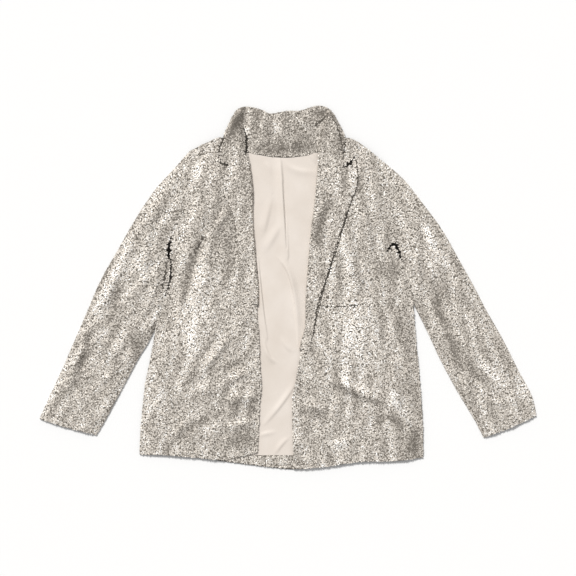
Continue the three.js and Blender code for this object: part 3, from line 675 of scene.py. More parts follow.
# Gain of the painted highlight and painted shade: how much lighter a disc's tone is painted per
# unit pushed towards the light, and how much darker per unit pushed away.
PAINTED_PUSH_LIGHT = 1.7
COMB_LENGTH = 26.0
COMB_LEAN = 0.045
COMB_SEED = 7
SCATTER = 0.12
BLOCK = 3
SPREAD = np.array([0.7548776662466927, 0.5698402909980532])
sequin_counts = {}


def surface_normals(surface):
    """Unit normals of a grid: the cross product of its two directions, turned upwards."""
    normals = np.cross(np.gradient(surface, axis=1), np.gradient(surface, axis=0))
    normals /= np.linalg.norm(normals, axis=-1, keepdims=True)
    return normals if normals[..., 2].mean() > 0 else -normals


def read_grid(grid, rows, columns):
    """Values of a grid between its points, straight in both directions."""
    r = np.minimum(rows.astype(int), grid.shape[0] - 2)
    c = np.minimum(columns.astype(int), grid.shape[1] - 2)
    s, t = (rows - r)[:, None], (columns - c)[:, None]
    return mix(mix(grid[r, c], grid[r, c + 1], t), mix(grid[r + 1, c], grid[r + 1, c + 1], t), s)


def inside(outline, places):
    """Whether each place is inside an outline: its ray to +X crosses it an odd number of times."""
    a, b = outline, np.roll(outline, -1, axis=0)
    x, y = places[:, 0][:, None], places[:, 1][:, None]
    spans = (a[:, 1] > y) != (b[:, 1] > y)
    rise = np.where(b[:, 1] == a[:, 1], 1.0, b[:, 1] - a[:, 1])
    crossing = a[:, 0] + (y - a[:, 1]) / rise * (b[:, 0] - a[:, 0])
    return (spans & (x < crossing)).sum(1) % 2 == 1


def scattered(surface, random):
    """Places all over a surface, and the normals there.

    A block of about BLOCK by BLOCK cells holds its area over SEQUIN_SHARE of them, rounded by
    chance. In it the k-th lies at the fractional part of an offset plus k times SPREAD, give or
    take a little.
    """
    cells = cell_areas(surface)
    downs, alongs = (np.linspace(0, size, max(size // BLOCK, 1) + 1).astype(int)
                     for size in cells.shape)
    areas = np.add.reduceat(np.add.reduceat(cells, downs[:-1], 0), alongs[:-1], 1)
    counts = (areas.ravel() / SEQUIN_SHARE + random.random(areas.size)).astype(int)
    block = np.repeat(np.arange(areas.size), counts)
    order = np.arange(counts.sum()) - np.repeat(np.cumsum(counts) - counts, counts)
    inner = random.random((areas.size, 2))[block] + order[:, None] * SPREAD
    inner = (inner + random.normal(0.0, SCATTER, inner.shape)) % 1.0
    down, along = np.divmod(block, areas.shape[1])
    rows = mix(downs[down], downs[down + 1], inner[:, 0])
    columns = mix(alongs[along], alongs[along + 1], inner[:, 1])
    return read_grid(surface, rows, columns), read_grid(surface_normals(surface), rows, columns)


def disc_corners(centres, normals, lean, random):
    """Corners of a disc at each centre, whose normal is the surface's plus the sideways lean."""
    number = len(centres)
    facing = normals + lean - (lean * normals).sum(-1, keepdims=True) * normals
    facing /= np.linalg.norm(facing, axis=-1, keepdims=True)
    side = np.cross(facing, [0.0, 1.0, 0.0])
    side /= np.linalg.norm(side, axis=-1, keepdims=True)
    other = np.cross(facing, side)
    turn = random.uniform(0, 2 * np.pi / SEQUIN_CORNERS, number)[:, None]
    spin = (turn + np.arange(SEQUIN_CORNERS) * 2 * np.pi / SEQUIN_CORNERS)[..., None]
    radius = SEQUIN_RADIUS * random.uniform(*SEQUIN_SIZES, number)[:, None, None]
    rim = radius * (np.cos(spin) * side[:, None] + np.sin(spin) * other[:, None])
    loose = random.uniform(0, SEQUIN_LOOSENESS, number)[:, None]
    raised = centres + normals * (SEQUIN_LIFT + loose)
    points = (raised[:, None] + rim).reshape(-1, 3)
    points[:, 2] = np.maximum(points[:, 2], SEQUIN_LOWEST)
    return points


def sew_sequins(name, surface, seed, covers=(), strokes=(), comb=0):
    """Discs all over a surface, but none in a pinch, in a cover's outline or near a cover's edge.

    They lean at random, and as the strokes and the streaks that run square to the heading comb
    push them. How far a disc is pushed towards the light also paints its tone lighter, and how far
    away from it paints it darker: a painted highlight and painted shade on a random tone.
    """
    random = np.random.default_rng(seed)
    centres, normals = scattered(surface, random)
    shown = past_pinches(centres[:, :2])[0] > 0
    for outline, edge, margin in covers:
        shown &= ~inside(outline, centres[:, :2])
        shown &= nearest_on(edge, centres[:, :2])[0] > margin
    centres, normals = centres[shown], normals[shown]
    number = len(centres)
    pushed = fold_height(strokes, centres[:, :2], STROKE_END)
    pushed += ripples(centres[:, :2], comb, COMB_LENGTH, COMB_LEAN, COMB_SEED)
    lean = random.normal(0.0, SEQUIN_TILT, (number, 3)) + pushed[:, None] * TOWARDS_LIGHT
    points = disc_corners(centres, normals, lean, random)
    faces = np.arange(number * SEQUIN_CORNERS).reshape(-1, SEQUIN_CORNERS)
    discs = make_mesh(name, points, faces, sequin_metal)
    tone = discs.data.attributes.new("tone_and_painted_light", "FLOAT", "FACE")
    # Tone: random, plus a painted highlight for a push towards the light and painted shade for a
    # push away.
    disc_tone_with_painted_light = random.random(number) + PAINTED_PUSH_LIGHT * pushed
    tone.data.foreach_set("value", np.clip(disc_tone_with_painted_light, 0, 1).astype(np.float32))
    sequin_counts[name] = number
    print(name, number, "sequins")


# %% [markdown]
# ## The body's edges
#
# The side seam and the armhole are one line on each side, from the hem up to the shoulder. The
# back and the front share it. The opening edges run from the hem to the gorge, where the collar
# is sewn on.

# %% Edges
XY = "x y"
SOLID_COLUMNS = 15
SOLID_ROWS = 26
ARMPIT_ROW = 14
ARMPIT_SHARE = ARMPIT_ROW / SOLID_ROWS
RIGHT_OPENING_SHARE = 0.46
LEFT_OPENING_SHARE = 0.53
LINE_STEPS = 48


def drawn(*points):
    """A smooth curve through (x, y) points."""
    return curve_through(table(XY, *points))


right_armhole = drawn(
    (-263, -71), (-244, -17), (-236, 33), (-234, 97), (-210, 147), (-201, 215), (-196, 273))
left_armhole = drawn(
    (250, -29), (240, 1), (228, 35), (213, 90), (210, 155), (204, 205), (194, 249))
right_side = drawn(
    (-297, -334), (-295, -285), (-286, -195), (-276, -145), (-263, -71))
left_side = drawn(
    (270, -340), (270, -285), (264, -190), (256, -105), (250, -29))
right_opening_rows = table(
    XY, (-61, -330), (-57, -237), (-54, -199), (-57, -141), (-60, -40), (-59, 5), (-65, 61),
    (-71, 147), (-70, 190), (-77, 248))
left_opening_rows = table(
    XY, (12, -363), (9, -290), (9, -223), (16, -185), (24, -119), (34, -80), (36, -19),
    (46, 111), (53, 165), (60, 246))
right_edge = join_curves(right_side, right_armhole, ARMPIT_SHARE)
left_edge = join_curves(left_side, left_armhole, ARMPIT_SHARE)


def timed_opening(rows, armpit_share):
    """The opening edge, run through so that the armpit's row crosses the front level."""
    curve = curve_through(rows)
    return join_curves(lambda t: curve(t * armpit_share),
                       lambda t: curve(mix(armpit_share, 1.0, t)), ARMPIT_SHARE)


right_opening = timed_opening(right_opening_rows, RIGHT_OPENING_SHARE)
left_opening = timed_opening(left_opening_rows, LEFT_OPENING_SHARE)
print("side seams and openings are drawn")

# %% [markdown]
# ## Back, lining and turned-up hem
#
# The back lies on the floor under everything. Its lining shows between the fronts: satin, with a
# pleat down the centre back for ease and some soft slack folds. Below it the back's hem is turned
# up, so a band of sequins shows.

# %% Back
SHELL_WALL = 1.6
SEAM_GAP = 0.3
LINING_FLOOR = SHELL_WALL + SEAM_GAP
BACK_STEPS = 5
BACK_ROWS = 104


def cut_piece(name, node, upper, lower, cloth=mesh_ground, form=shell,
              underside=None):
    """A closed piece between two surfaces, in place of a node's solid, which is hidden."""
    piece = form(name, upper, lower, cloth)
    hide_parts(node)
    if underside is not None:
        face_down(piece, underside)


back_neck = table(
    XY, (-130, 300), (-100, 280), (-60, 266), (-10, 260), (40, 266), (84, 283), (112, 300))
back_top = np.concatenate([table(XY, (-196, 273), (-158, 291)), back_neck,
                           table(XY, (134, 293), (162, 274), (194, 249))])
back_edges = {
    "bottom": drawn(
        (-297, -334), (-236, -336), (-176, -342), (-115, -350), (-58, -357), (12, -364),
        (71, -359), (125, -351), (152, -348), (218, -347), (270, -340)),
    "top": curve_through(back_top),
    "start": right_edge,
    "finish": left_edge,
}
places = patch(back_edges, split_marks(marks_of(back_top), BACK_STEPS), even(BACK_ROWS))
flat = np.zeros(places.shape[:-1])
cut_piece("back_panel", "back", lift(places, flat + SHELL_WALL), lift(places, flat),
          underside=sequin_cells)

# %% Lining
LINING_WALL = 1.0
LINING_COLUMNS = 140
LINING_ROWS = 220
LINING_SLACK = {"heading": 20, "length": 46, "height": 0.16, "seed": 4}
lining_folds = table(
    FOLD_COLUMNS,
    (-15, 254, -9, 176, 0, 62, 9, 2.2, 5.0),
    (-10, 210, -6, 150, -2, 78, 1.6, 1.6, -4.2),
    (-15, 52, 10, -4, 20, -116, 1.6, 8, 3.8),
    (-34, 178, -44, 134, -50, 110, 10, 5, 1.9),
    (-16, 126, -30, 100, -46, 74, 10, 6, 1.7),
    (-60, 61, -53, -14, -42, -101, 6, 1.8, 3.4),
    (-56, 48, -50, -14, -44, -72, 1.4, 1.4, -2.2),
    (-48, -107, -38, -136, -24, -148, 6, 2, 2.4),
    (-46, 250, -38, 240, -34, 226, 5, 4, 0.9),
    (49, 270, 55, 265, 60, 256, 2, 1.5, 1.3),
    (41, 267, 48, 260, 55, 249, 2, 1.5, 1.1),
    (-14, -99, -4, -117, 8, -127, 4, 6, 1.4),
    (15, -191, -12, -232, -48, -274, 7, 3, 1.9),
    (-58, -296, -44, -292, -26, -289, 5, 3, 1.3),
    (2, -301, -12, -314, -26, -332, 6, 3, 1.5),
    (-6, 256, 14, 236, 58, 231, 8, 5, 1.3),
)
lining_edges = {
    "bottom": drawn((-84, -336), (34, -336)),
    "top": drawn(
        (-79, 246), (-81, 269), (-56, 265), (-31, 261), (4, 260), (40, 265),
        (60, 270), (62, 244)),
    "start": drawn((-84, -336), (-76, -200), (-78, 0), (-86, 150), (-79, 246)),
    "finish": drawn((34, -336), (42, -200), (58, 0), (68, 150), (62, 244)),
}
places = patch(lining_edges, even(LINING_COLUMNS), even(LINING_ROWS))
slack = ripples(places, **LINING_SLACK)
height = LINING_FLOOR + np.maximum(fold_height(lining_folds, places) + slack, 0)
cut_piece("lining_of_back", "back_lining", lift(places, height + LINING_WALL),
          lift(places, height), cloth=satin)

# %% Turned-up hem
BAND_COLUMNS = 48
BAND_ROWS = 6
BAND_SEED = 11
band_top = drawn((-130, -336.5), (20, -336.5))
band_edge = drawn((-130, -346), (-58, -356), (8, -362.5), (20, -362))
band_edges = {
    "bottom": band_edge, "top": band_top,
    "start": side_between(band_edge, band_top, 0),
    "finish": side_between(band_edge, band_top, 1),
}
places = patch(band_edges, even(BAND_COLUMNS), even(BAND_ROWS))
flat = np.full(places.shape[:-1], LINING_FLOOR)
band_upper = lift(places, flat + SHELL_WALL)
cut_piece("hem_band", "back_hem_band", band_upper, lift(places, flat))
sew_sequins("hem_band_sequins", band_upper, BAND_SEED)

# %% [markdown]
# ## Fronts
#
# A front lies on the back at its side seam and rises over the rolled lapel at the opening. Its
# creases radiate from the armhole and from the point where the lapel starts to roll, and softer
# slack runs down the side.

# %% Heights of the fronts
SIDE_HEIGHTS, SIDE_SPAN = (1.9, 3.0), (-100, -50)
BODY_HEIGHTS, BODY_SPAN = (4.2, 5.8), (-345, -130)
SHOULDER_DROP, SHOULDER_SPAN = 0.5, (229, 273)
RISE_WIDTH = 38
FRONT_LOWEST = 4.0
FRONT_SLACK = {"length": 34, "height": 0.42}


def front_floor(front, places):
    """Height of a front's lower face.

    From the side seam it eases up to the body's height, less towards the hem and the shoulder.
    Folds and ripples are added where it has risen. They never take it below FRONT_LOWEST, or
    below its plain height where that is less.
    """
    y = places[..., 1]
    side_floor = mix(*SIDE_HEIGHTS, ease(*SIDE_SPAN, y))
    body = mix(*BODY_HEIGHTS, ease(*BODY_SPAN, y))
    rise = ease(0, RISE_WIDTH, nearest_on(front["side_line"], places)[0])
    flat = mix(side_floor, body, rise * (1 - SHOULDER_DROP * ease(*SHOULDER_SPAN, y)))
    slack = ripples(places, heading=front["heading"], seed=front["seed"], **FRONT_SLACK)
    folded = flat + rise * (fold_height(front["folds"], places) + slack)
    return np.maximum(folded, np.minimum(flat, FRONT_LOWEST))


right_front_folds = table(
    FOLD_COLUMNS,
    (-216, 92, -217, 45, -228, -12, 7, 7, 4.2),
    (-174, 90, -190, 35, -218, -88, 8, 8, -1.6),
    (-158, 80, -168, 10, -186, -100, 16, 18, 3.4),
    (-140, -98, -160, -124, -180, -150, 5, 5, -1.6),
    (-118, -98, -146, -136, -176, -176, 6, 7, 3.8),
    (-126, -164, -108, -158, -88, -152, 5, 5, -1.6),
    (-124, -190, -100, -178, -76, -168, 7, 9, 3.0),
    (-206, -222, -170, -204, -130, -202, 13, 12, 2.2),
    (-130, -226, -96, -222, -64, -216, 9, 10, 3.0),
    (-128, -282, -96, -274, -66, -266, 9, 8, 3.2),
    (-216, -240, -230, -262, -242, -292, 6, 6, -1.6),
    (-188, -256, -216, -284, -236, -310, 7, 8, 3.2),
    (-250, -120, -256, -196, -270, -290, 12, 11, 2.2),
    (-166, 172, -170, 140, -172, 110, 7, 7, 3.8),
    (-126, 150, -136, 130, -146, 105, 7, 7, 3.4),
    (-178, 246, -180, 212, -178, 184, 9, 9, 2.2),
)
left_front_folds = table(
    FOLD_COLUMNS,
    (120, 105, 130, 50, 146, 0, 7, 9, 4.8),
    (144, 151, 158, 119, 170, 63, 7, 8, 4.6),
    (134, 110, 143, 60, 150, 20, 5, 5, -1.6),
    (132, -50, 142, -95, 150, -140, 24, 24, 2.2),
    (150, -25, 168, -69, 192, -97, 8, 8, 3.8),
    (100, -184, 134, -206, 186, -226, 8, 7, 4.4),
    (90, -204, 128, -222, 178, -242, 6, 6, -1.6),
    (208, -145, 214, -195, 226, -262, 7, 7, 4.2),
    (236, -70, 242, -150, 250, -240, 9, 9, 2.4),
    (84, -318, 104, -310, 128, -306, 8, 8, 2.4),
    (156, -275, 172, -305, 190, -325, 9, 9, 2.0),
    (32, -236, 56, -240, 84, -246, 9, 8, 2.6),
    (186, 92, 214, 106, 238, 62, 8, 8, 4.0),
    (198, 71, 214, 84, 226, 56, 4, 4, -2.2),
    (176, 214, 186, 166, 190, 124, 11, 12, 2.2),
)
FRONTS = {
    "right": {
        "edges": {
            "bottom": drawn(
                (-297, -334), (-236, -336), (-176, -341), (-126, -345), (-95, -338),
                (-61, -330)),
            "top": drawn(
                (-196, 273), (-158, 291), (-132, 299), (-119, 280), (-106, 262),
                (-94, 249), (-77, 247)),
            "start": right_edge,
            "finish": right_opening,
        },
        "opening": ("finish", right_opening, -1),
        "lapel_from": 0.58,
        "lapel_edge": table(
            XY, (-74, -30), (-80, -3), (-95, 35), (-102, 91), (-110, 147), (-132, 193),
            (-147, 217), (-150, 234)),
        "gorge": table(XY, (-77, 248), (-118, 243)),
        "folds": right_front_folds,
        "side_line": right_edge(even(LINE_STEPS)),
        "heading": -8,
        "seed": 21,
    },
    "left": {
        "edges": {
            "bottom": drawn(
                (12, -363), (71, -359), (125, -351), (152, -348), (218, -347),
                (270, -340)),
            "top": drawn(
                (60, 245), (78, 246), (90, 260), (102, 280), (113, 298), (134, 293),
                (162, 274), (194, 249)),
            "start": left_opening,
            "finish": left_edge,
        },
        "opening": ("start", left_opening, 1),
        "lapel_from": 0.4,
        "lapel_edge": table(
            XY, (42, -126), (48, -100), (59, -33), (78, 23), (96, 77), (109, 120),
            (124, 169), (137, 205), (136, 254)),
        "gorge": table(XY, (60, 246), (111, 238)),
        "folds": left_front_folds,
        "side_line": left_edge(even(LINE_STEPS)),
        "heading": 8,
        "seed": 22,
    },
}

# %% Grids of the fronts
FRONT_COLUMNS = 75
FRONT_ROWS = 156
LAPEL_INSET = 3.0
INSET_LEAD = (0.1, 0.02)


def front_grid(front):
    """Lower face of a front. Beside the lapel it stops LAPEL_INSET short of the roll."""
    side, opening, inward = front["opening"]
    first, last = (front["lapel_from"] - lead for lead in INSET_LEAD)

    def shifted(v):
        return opening(v) + (LAPEL_INSET * inward * ease(first, last, v))[:, None] * [1.0, 0.0]

    top = front["edges"]["top"]
    edges = dict(front["edges"])
    edges[side] = shifted
    edges["top"] = lambda u: top(u) + (
        LAPEL_INSET * inward * (u if side == "finish" else 1 - u))[..., None] * [1.0, 0.0]
    places = patch(edges, even(FRONT_COLUMNS), even(FRONT_ROWS))
    return lift(places, front_floor(front, places))


for front in FRONTS.values():
    front["lower"] = front_grid(front)
print("grid of a front:", front["lower"].shape)

# %% [markdown]
# ## Lapels
#
# A lapel is the front's facing, turned out. Its section starts under the front's edge, rolls
# round it and lies on the front. The collar's leaf meets it at the gorge, and the step between
# them is the notch.

# %% Lapel surfaces
LAPEL_ROWS = 96
ROLL_REACH = 3.6
ROLL_DEPTH = 1.7
LAYER_GAP = 0.8
LEAST_SPAN = 0.2
NEAR_STEPS = 12
FAR_STEPS = 9
ROLL_TURN = np.radians(np.linspace(-90, 90, 10))


def lapel_grids(front):
    """Upper and lower face of a lapel.

    d is the distance in from the opening. The centre line is one point at ROLL_REACH under the
    front, then half an oval, d = half + ROLL_DEPTH (1 - cos a), z = middle + half height sin a,
    then the front's own height plus a wall and LAYER_GAP. Each face is half a wall off it.
    """
    half = SHELL_WALL / 2
    gorge, edge = front["gorge"], curve_through(front["lapel_edge"])
    start = lambda v: front["opening"][1](mix(front["lapel_from"], 1.0, v))
    top_rows = np.concatenate([gorge, edge(TIPS)[1:]])
    edges = edges_between(start, edge)
    edges["top"] = line_through(top_rows)
    v = even(LAPEL_ROWS)
    width = np.linalg.norm(edge(v) - start(v), axis=-1)[:, None]
    at = lambda d: patch(edges, d / width, v)
    floor_at = lambda d: front_floor(front, at(d))
    edge_floor = floor_at(np.full((len(v), 1), ROLL_REACH))
    low = edge_floor - 2 * SEAM_GAP - half
    high = edge_floor + SHELL_WALL + LAYER_GAP + half
    roll = half + ROLL_DEPTH * (1 - np.cos(ROLL_TURN))
    first = ROLL_REACH / width
    notch = np.maximum(marks_of(top_rows)[1], first + LEAST_SPAN)
    near = first + (notch - first) * even(NEAR_STEPS)[1:]
    far = notch + (1 - notch) * even(FAR_STEPS)[1:]
    over = np.concatenate([near, far], 1) * width
    d = np.concatenate([np.full_like(width, ROLL_REACH), roll + 0 * width, over], 1)
    round_z = mix(low, high, (1 + np.sin(ROLL_TURN)) / 2)
    z = np.concatenate([low, round_z, floor_at(over) + high - edge_floor], 1)
    turn_d = np.concatenate([[0.0], -np.cos(ROLL_TURN), np.zeros(over.shape[1])])
    turn_z = np.concatenate([[-1.0], np.sin(ROLL_TURN), np.ones(over.shape[1])])
    faces = [lift(at(d + side * half * turn_d), z + side * half * turn_z) for side in (1, -1)]
    return faces[0], faces[1]


for side, front in FRONTS.items():
    upper, lower = lapel_grids(front)
    front["lapel"] = upper
    cut_piece(f"{side}_lapel_facing", f"{side}_lapel", upper, lower)

# %% [markdown]
# ## Collar
#
# The collar stands up behind the neck and is laid out flat there, so its inside shows. At both
# ends it folds forward along the roll line, and the leaves lie over the shoulders and lapels.
# The under collar is its outer layer, and shows only from below and along the edge.

# %% Collar surfaces
collar_folds = table(
    FOLD_COLUMNS,
    (20, 346, 30, 334, 40, 322, 9, 9, 2.2),
    (-52, 346, -44, 320, -40, 296, 12, 12, 1.8),
    (-14, 344, -12, 322, -2, 300, 12, 12, 1.6),
)
collar_right_roll = drawn(
    (-90, 380), (-90, 323), (-83, 275), (-72, 248), (-70, 230))(even(LINE_STEPS))
collar_left_roll = drawn(
    (92, 380), (72, 336), (64, 300), (54, 246), (52, 230))(even(LINE_STEPS))
COLLAR_LEAF_FLOOR = 8.0
ROLL_WIDTH = 6.0
ROLL_SHIFT = 2.0
CORNER_SPAN, CORNER_EDGE = (294, 314), (0.88, 1.0)
SEAM_EASE = (0, 0.3)
COLLAR_SLACK = {"heading": 0, "length": 22, "height": 0.22, "seed": 31}
COLLAR_COLUMNS = 30
COLLAR_STEPS = 15
COLLAR_SEAM = (0.0, 0.6)


def past_roll(line, side, places):
    """0 on the neck's side of a roll line, 1 past it, eased over ROLL_WIDTH on both sides."""
    gap, _, found = nearest_on(line, places)
    return ease(-ROLL_WIDTH, ROLL_WIDTH, side * found * gap - ROLL_SHIFT)


def collar_floor(places, u):
    """Height of the collar's lower face: on the neck behind, up over the shoulders at its ends."""
    leaf = np.maximum(past_roll(collar_right_roll, -1, places),
                      past_roll(collar_left_roll, 1, places))
    drop = 1 - ease(*CORNER_SPAN, places[..., 1]) * ease(*CORNER_EDGE, u)
    raised = (COLLAR_LEAF_FLOOR - LINING_FLOOR) * leaf * drop
    folded = (1 - leaf) * fold_height(collar_folds, places) * ease(*SEAM_EASE, u)
    slack = ripples(places, **COLLAR_SLACK) * ease(*SEAM_EASE, u) * ease(*SEAM_EASE, 1 - u)
    return LINING_FLOOR + raised + np.maximum(folded + slack, 0)


collar_inner_rows = np.concatenate([
    FRONTS["right"]["gorge"][::-1] + COLLAR_SEAM,
    table(XY, (-82, 271), (-56, 266), (-31, 262), (4, 261), (40, 266), (61, 272)),
    FRONTS["left"]["gorge"] + COLLAR_SEAM,
])
collar_inner = line_through(collar_inner_rows)
collar_outer = drawn(
    (-138, 261), (-136, 275), (-129, 303), (-114, 337), (-101, 356), (-86, 362),
    (-54, 356), (-36, 348), (-4, 353), (24, 354), (44, 360), (64, 364), (84, 356),
    (104, 325), (113, 303), (110, 264))
u = even(COLLAR_COLUMNS)
v = split_marks(marks_of(collar_inner_rows), COLLAR_STEPS)
places = patch(edges_between(collar_inner, collar_outer), u, v)
height = collar_floor(places, np.broadcast_to(u, places.shape[:-1]))
collar_upper = lift(places, height + SHELL_WALL)
cut_piece("collar_top", "upper_collar", collar_upper, lift(places, height))

# %% Under collar
UNDER_STEPS = 12
UNDER_SEAM = (0.0, 0.45)
under_seam_rows = back_neck + UNDER_SEAM
under_seam = line_through(under_seam_rows)
under_edge = drawn(
    (-126, 309), (-114, 337), (-101, 356), (-86, 362), (-54, 356), (-36, 348), (-4, 353),
    (24, 354), (44, 360), (64, 364), (84, 356), (104, 325), (110, 309))
v = split_marks(marks_of(under_seam_rows), UNDER_STEPS)
places = patch(edges_between(under_seam, under_edge), even(UNDER_STEPS), v)
flat = np.zeros(places.shape[:-1])
cut_piece("collar_under", "under_collar", lift(places, flat + SHELL_WALL), lift(places, flat),
          underside=sequin_cells)

# %% [markdown]
# ## Pockets
#
# A patch pocket is cut to the front's shape and sewn on top of it. It is a part of the front's
# own grid, raised by the front's wall and a seam's gap, with a little fullness in its middle.

# %% Pocket surfaces
POCKETS = {
    "right": {"columns": (6, 13), "rows": (9, 15)},
    "left": {"columns": (2, 8), "rows": (9, 14)},
}
COLUMN_SPLIT = FRONT_COLUMNS // SOLID_COLUMNS
ROW_SPLIT = FRONT_ROWS // SOLID_ROWS
POCKET_FULLNESS = 0.5
POCKET_EDGE = 0.5
POCKET_WALL = 1.0
POCKET_MARGIN = 0.6
POCKET_SEED = 20
covers = {}


def border_of(surface):
    """The outline of a grid, seen from above."""
    sides = [surface[0, :-1], surface[:-1, -1], surface[-1, :0:-1], surface[:0:-1, 0]]
    return np.concatenate(sides)[:, :2]


for side, pocket in POCKETS.items():
    front = FRONTS[side]
    rows, columns = (slice(first * split, last * split + 1) for (first, last), split in
                     ((pocket["rows"], ROW_SPLIT), (pocket["columns"], COLUMN_SPLIT)))
    lower = front["lower"][rows, columns].copy()
    down, along = even(lower.shape[0] - 1)[:, None], even(lower.shape[1] - 1)
    fullness = np.sin(np.pi * down) ** 0.5 * np.sin(np.pi * along) ** 0.5
    lower[..., 2] += SHELL_WALL + SEAM_GAP
    lower[..., 2] += POCKET_FULLNESS * fullness
    upper = lower.copy()
    upper[..., 2] += mix(POCKET_EDGE, POCKET_WALL, fullness)
    cut_piece(f"{side}_patch_pocket", f"{side}_pocket", upper, lower)
    sew_sequins(f"{side}_pocket_sequins", upper, front["seed"] + POCKET_SEED,
                strokes=BRUSHED[f"{side}_front"], comb=front["heading"])
    covers[side] = (border_of(upper), upper[-1, :, :2], POCKET_MARGIN)

# %% [markdown]
# ## Sequins on the fronts, lapels and collar
#
# A sequin that another piece hides would only push through it, so none is sewn on where a
# pocket, a lapel or the collar covers a front. A narrow margin past the cover's edge is bare too.

# %% Fronts, lapels and collar with their sequins
ROLL_COLUMNS = 4
LAPEL_END_ROWS = 8
LAPEL_MARGIN = {"right": 0.8, "left": 2.6}
COLLAR_MARGIN = 1.6
PANEL_SEED = 30
LAPEL_SEED = 32
COLLAR_SEED = 55
collar_cover = (border_of(collar_upper), collar_upper[:, -1, :2], COLLAR_MARGIN)
for side, front in FRONTS.items():
    upper = front["lower"] + [0, 0, SHELL_WALL]
    cut_piece(f"{side}_front_panel", f"{side}_front", upper, front["lower"])
    lapel = front["lapel"][:, ROLL_COLUMNS:]
    lapel_cover = (border_of(lapel), lapel[LAPEL_END_ROWS:, -1, :2], LAPEL_MARGIN[side])
    sew_sequins(f"{side}_front_sequins", upper, front["seed"] + PANEL_SEED,
                covers=[covers[side], lapel_cover, collar_cover],
                strokes=BRUSHED[f"{side}_front"], comb=front["heading"])
    sew_sequins(f"{side}_lapel_sequins", lapel, front["seed"] + LAPEL_SEED,
                strokes=BRUSHED[f"{side}_lapel"], comb=front["heading"])
sew_sequins("collar_sequins", collar_upper, COLLAR_SEED, strokes=BRUSHED["collar"])

# %% [markdown]
# ## Sleeves
#
# Laid flat, a sleeve is a wide flat tube: its lower wall on the floor, its upper wall a little
# above, and a rounded fold along both edges. The rows run from the armhole to the cuff.

# %% Sleeve surfaces
SLEEVE_COLUMNS = 48
SLEEVE_ROWS = 120
SLEEVE_EDGE = 3.5
SLEEVE_LOWEST = 3.6
ARMHOLE_HEIGHT, ARM_HEIGHT, CUFF_HEIGHT = 4.6, 6.0, 5.0
RISE_SHARE = (0, 0.12)
CUFF_SHARE = (0.8, 1.0)
SLEEVE_SLACK = {"length": 32, "height": 0.42}
ARMHOLE_GAP = 0.55
LEAST_HOLLOW = 0.25
EDGE_POINTS = 3
SLEEVE_SEED = 10
EDGE_TURN = np.radians(np.linspace(-90, 90, 8))
right_sleeve_folds = table(
    FOLD_COLUMNS,
    (-226, 206, -262, 156, -296, 112, 11, 11, 2.2),
    (-318, 90, -344, 25, -374, -50, 14, 9, 3.6),
    (-280, 95, -286, 45, -292, -15, 8, 8, 3.4),
    (-310, 72, -318, 36, -324, -4, 6, 6, -1.4),
    (-258, 60, -266, 0, -288, -58, 8, 7, 2.6),
    (-396, -80, -414, -130, -438, -200, 9, 7, 3.2),
    (-366, -110, -352, -126, -338, -150, 12, 10, 2.2),
    (-384, -176, -362, -182, -340, -184, 9, 9, 2.0),
    (-452, -186, -444, -206, -436, -230, 10, 9, 2.0),
)
left_sleeve_folds = table(
    FOLD_COLUMNS,
    (224, 198, 252, 164, 276, 128, 11, 11, 2.2),
    (276, 106, 300, 48, 328, -4, 8, 8, 3.8),
    (258, 66, 260, 30, 266, -14, 6, 7, 3.8),
    (332, 22, 346, -4, 356, -30, 7, 8, 2.6),
    (296, 14, 302, -30, 316, -76, 8, 8, -1.4),
    (340, -95, 368, -135, 400, -181, 9, 9, 4.2),
    (326, -104, 350, -150, 380, -192, 6, 6, -1.4),
    (384, -80, 404, -116, 420, -150, 14, 14, 2.0),
    (392, -222, 424, -230, 462, -220, 9, 9, 2.0),
)
SLEEVES = {
    "right": {
        "armhole": right_armhole, "side": -1,
        "outer": drawn(
            (-196, 273), (-230, 235), (-266, 195), (-306, 135), (-340, 75), (-374, 15),
            (-400, -45), (-426, -105), (-452, -165), (-480, -225), (-497, -263)),
        "inner": drawn(
            (-263, -71), (-278, -105), (-302, -145), (-334, -205), (-366, -265),
            (-384, -295)),
        "cuff": drawn((-497, -263), (-440, -281), (-384, -295)),
        "folds": right_sleeve_folds, "heading": -28, "seed": 61,
    },
    "left": {
        "armhole": left_armhole, "side": 1,
        "outer": drawn(
            (194, 249), (232, 215), (264, 175), (308, 115), (342, 55), (370, 5),
            (396, -45), (430, -105), (460, -165), (488, -218), (497, -256)),
        "inner": drawn(
            (250, -29), (278, -85), (306, -145), (338, -205), (374, -265), (392, -300)),
        "cuff": drawn((497, -256), (450, -279), (392, -300)),
        "folds": left_sleeve_folds, "heading": 28, "seed": 62,
    },
}


def sleeve_top(sleeve, places, u, v):
    """Height of a sleeve's upper face: from the armhole's height to the arm's and the cuff's.

    Folds and ripples are added past the armhole, and it eases down to the edges' height.
    """
    risen = ease(*RISE_SHARE, v)
    level = mix(mix(ARMHOLE_HEIGHT, ARM_HEIGHT, risen), CUFF_HEIGHT, ease(*CUFF_SHARE, v))
    slack = ripples(places, heading=sleeve["heading"], seed=sleeve["seed"], **SLEEVE_SLACK)
    folded = level + risen * (fold_height(sleeve["folds"], places) + slack)
    edge = mix(1.0, ease(*RISE_SHARE, np.minimum(u, 1 - u)), risen)
    return np.maximum(mix(SLEEVE_EDGE, folded, edge), SLEEVE_LOWEST)


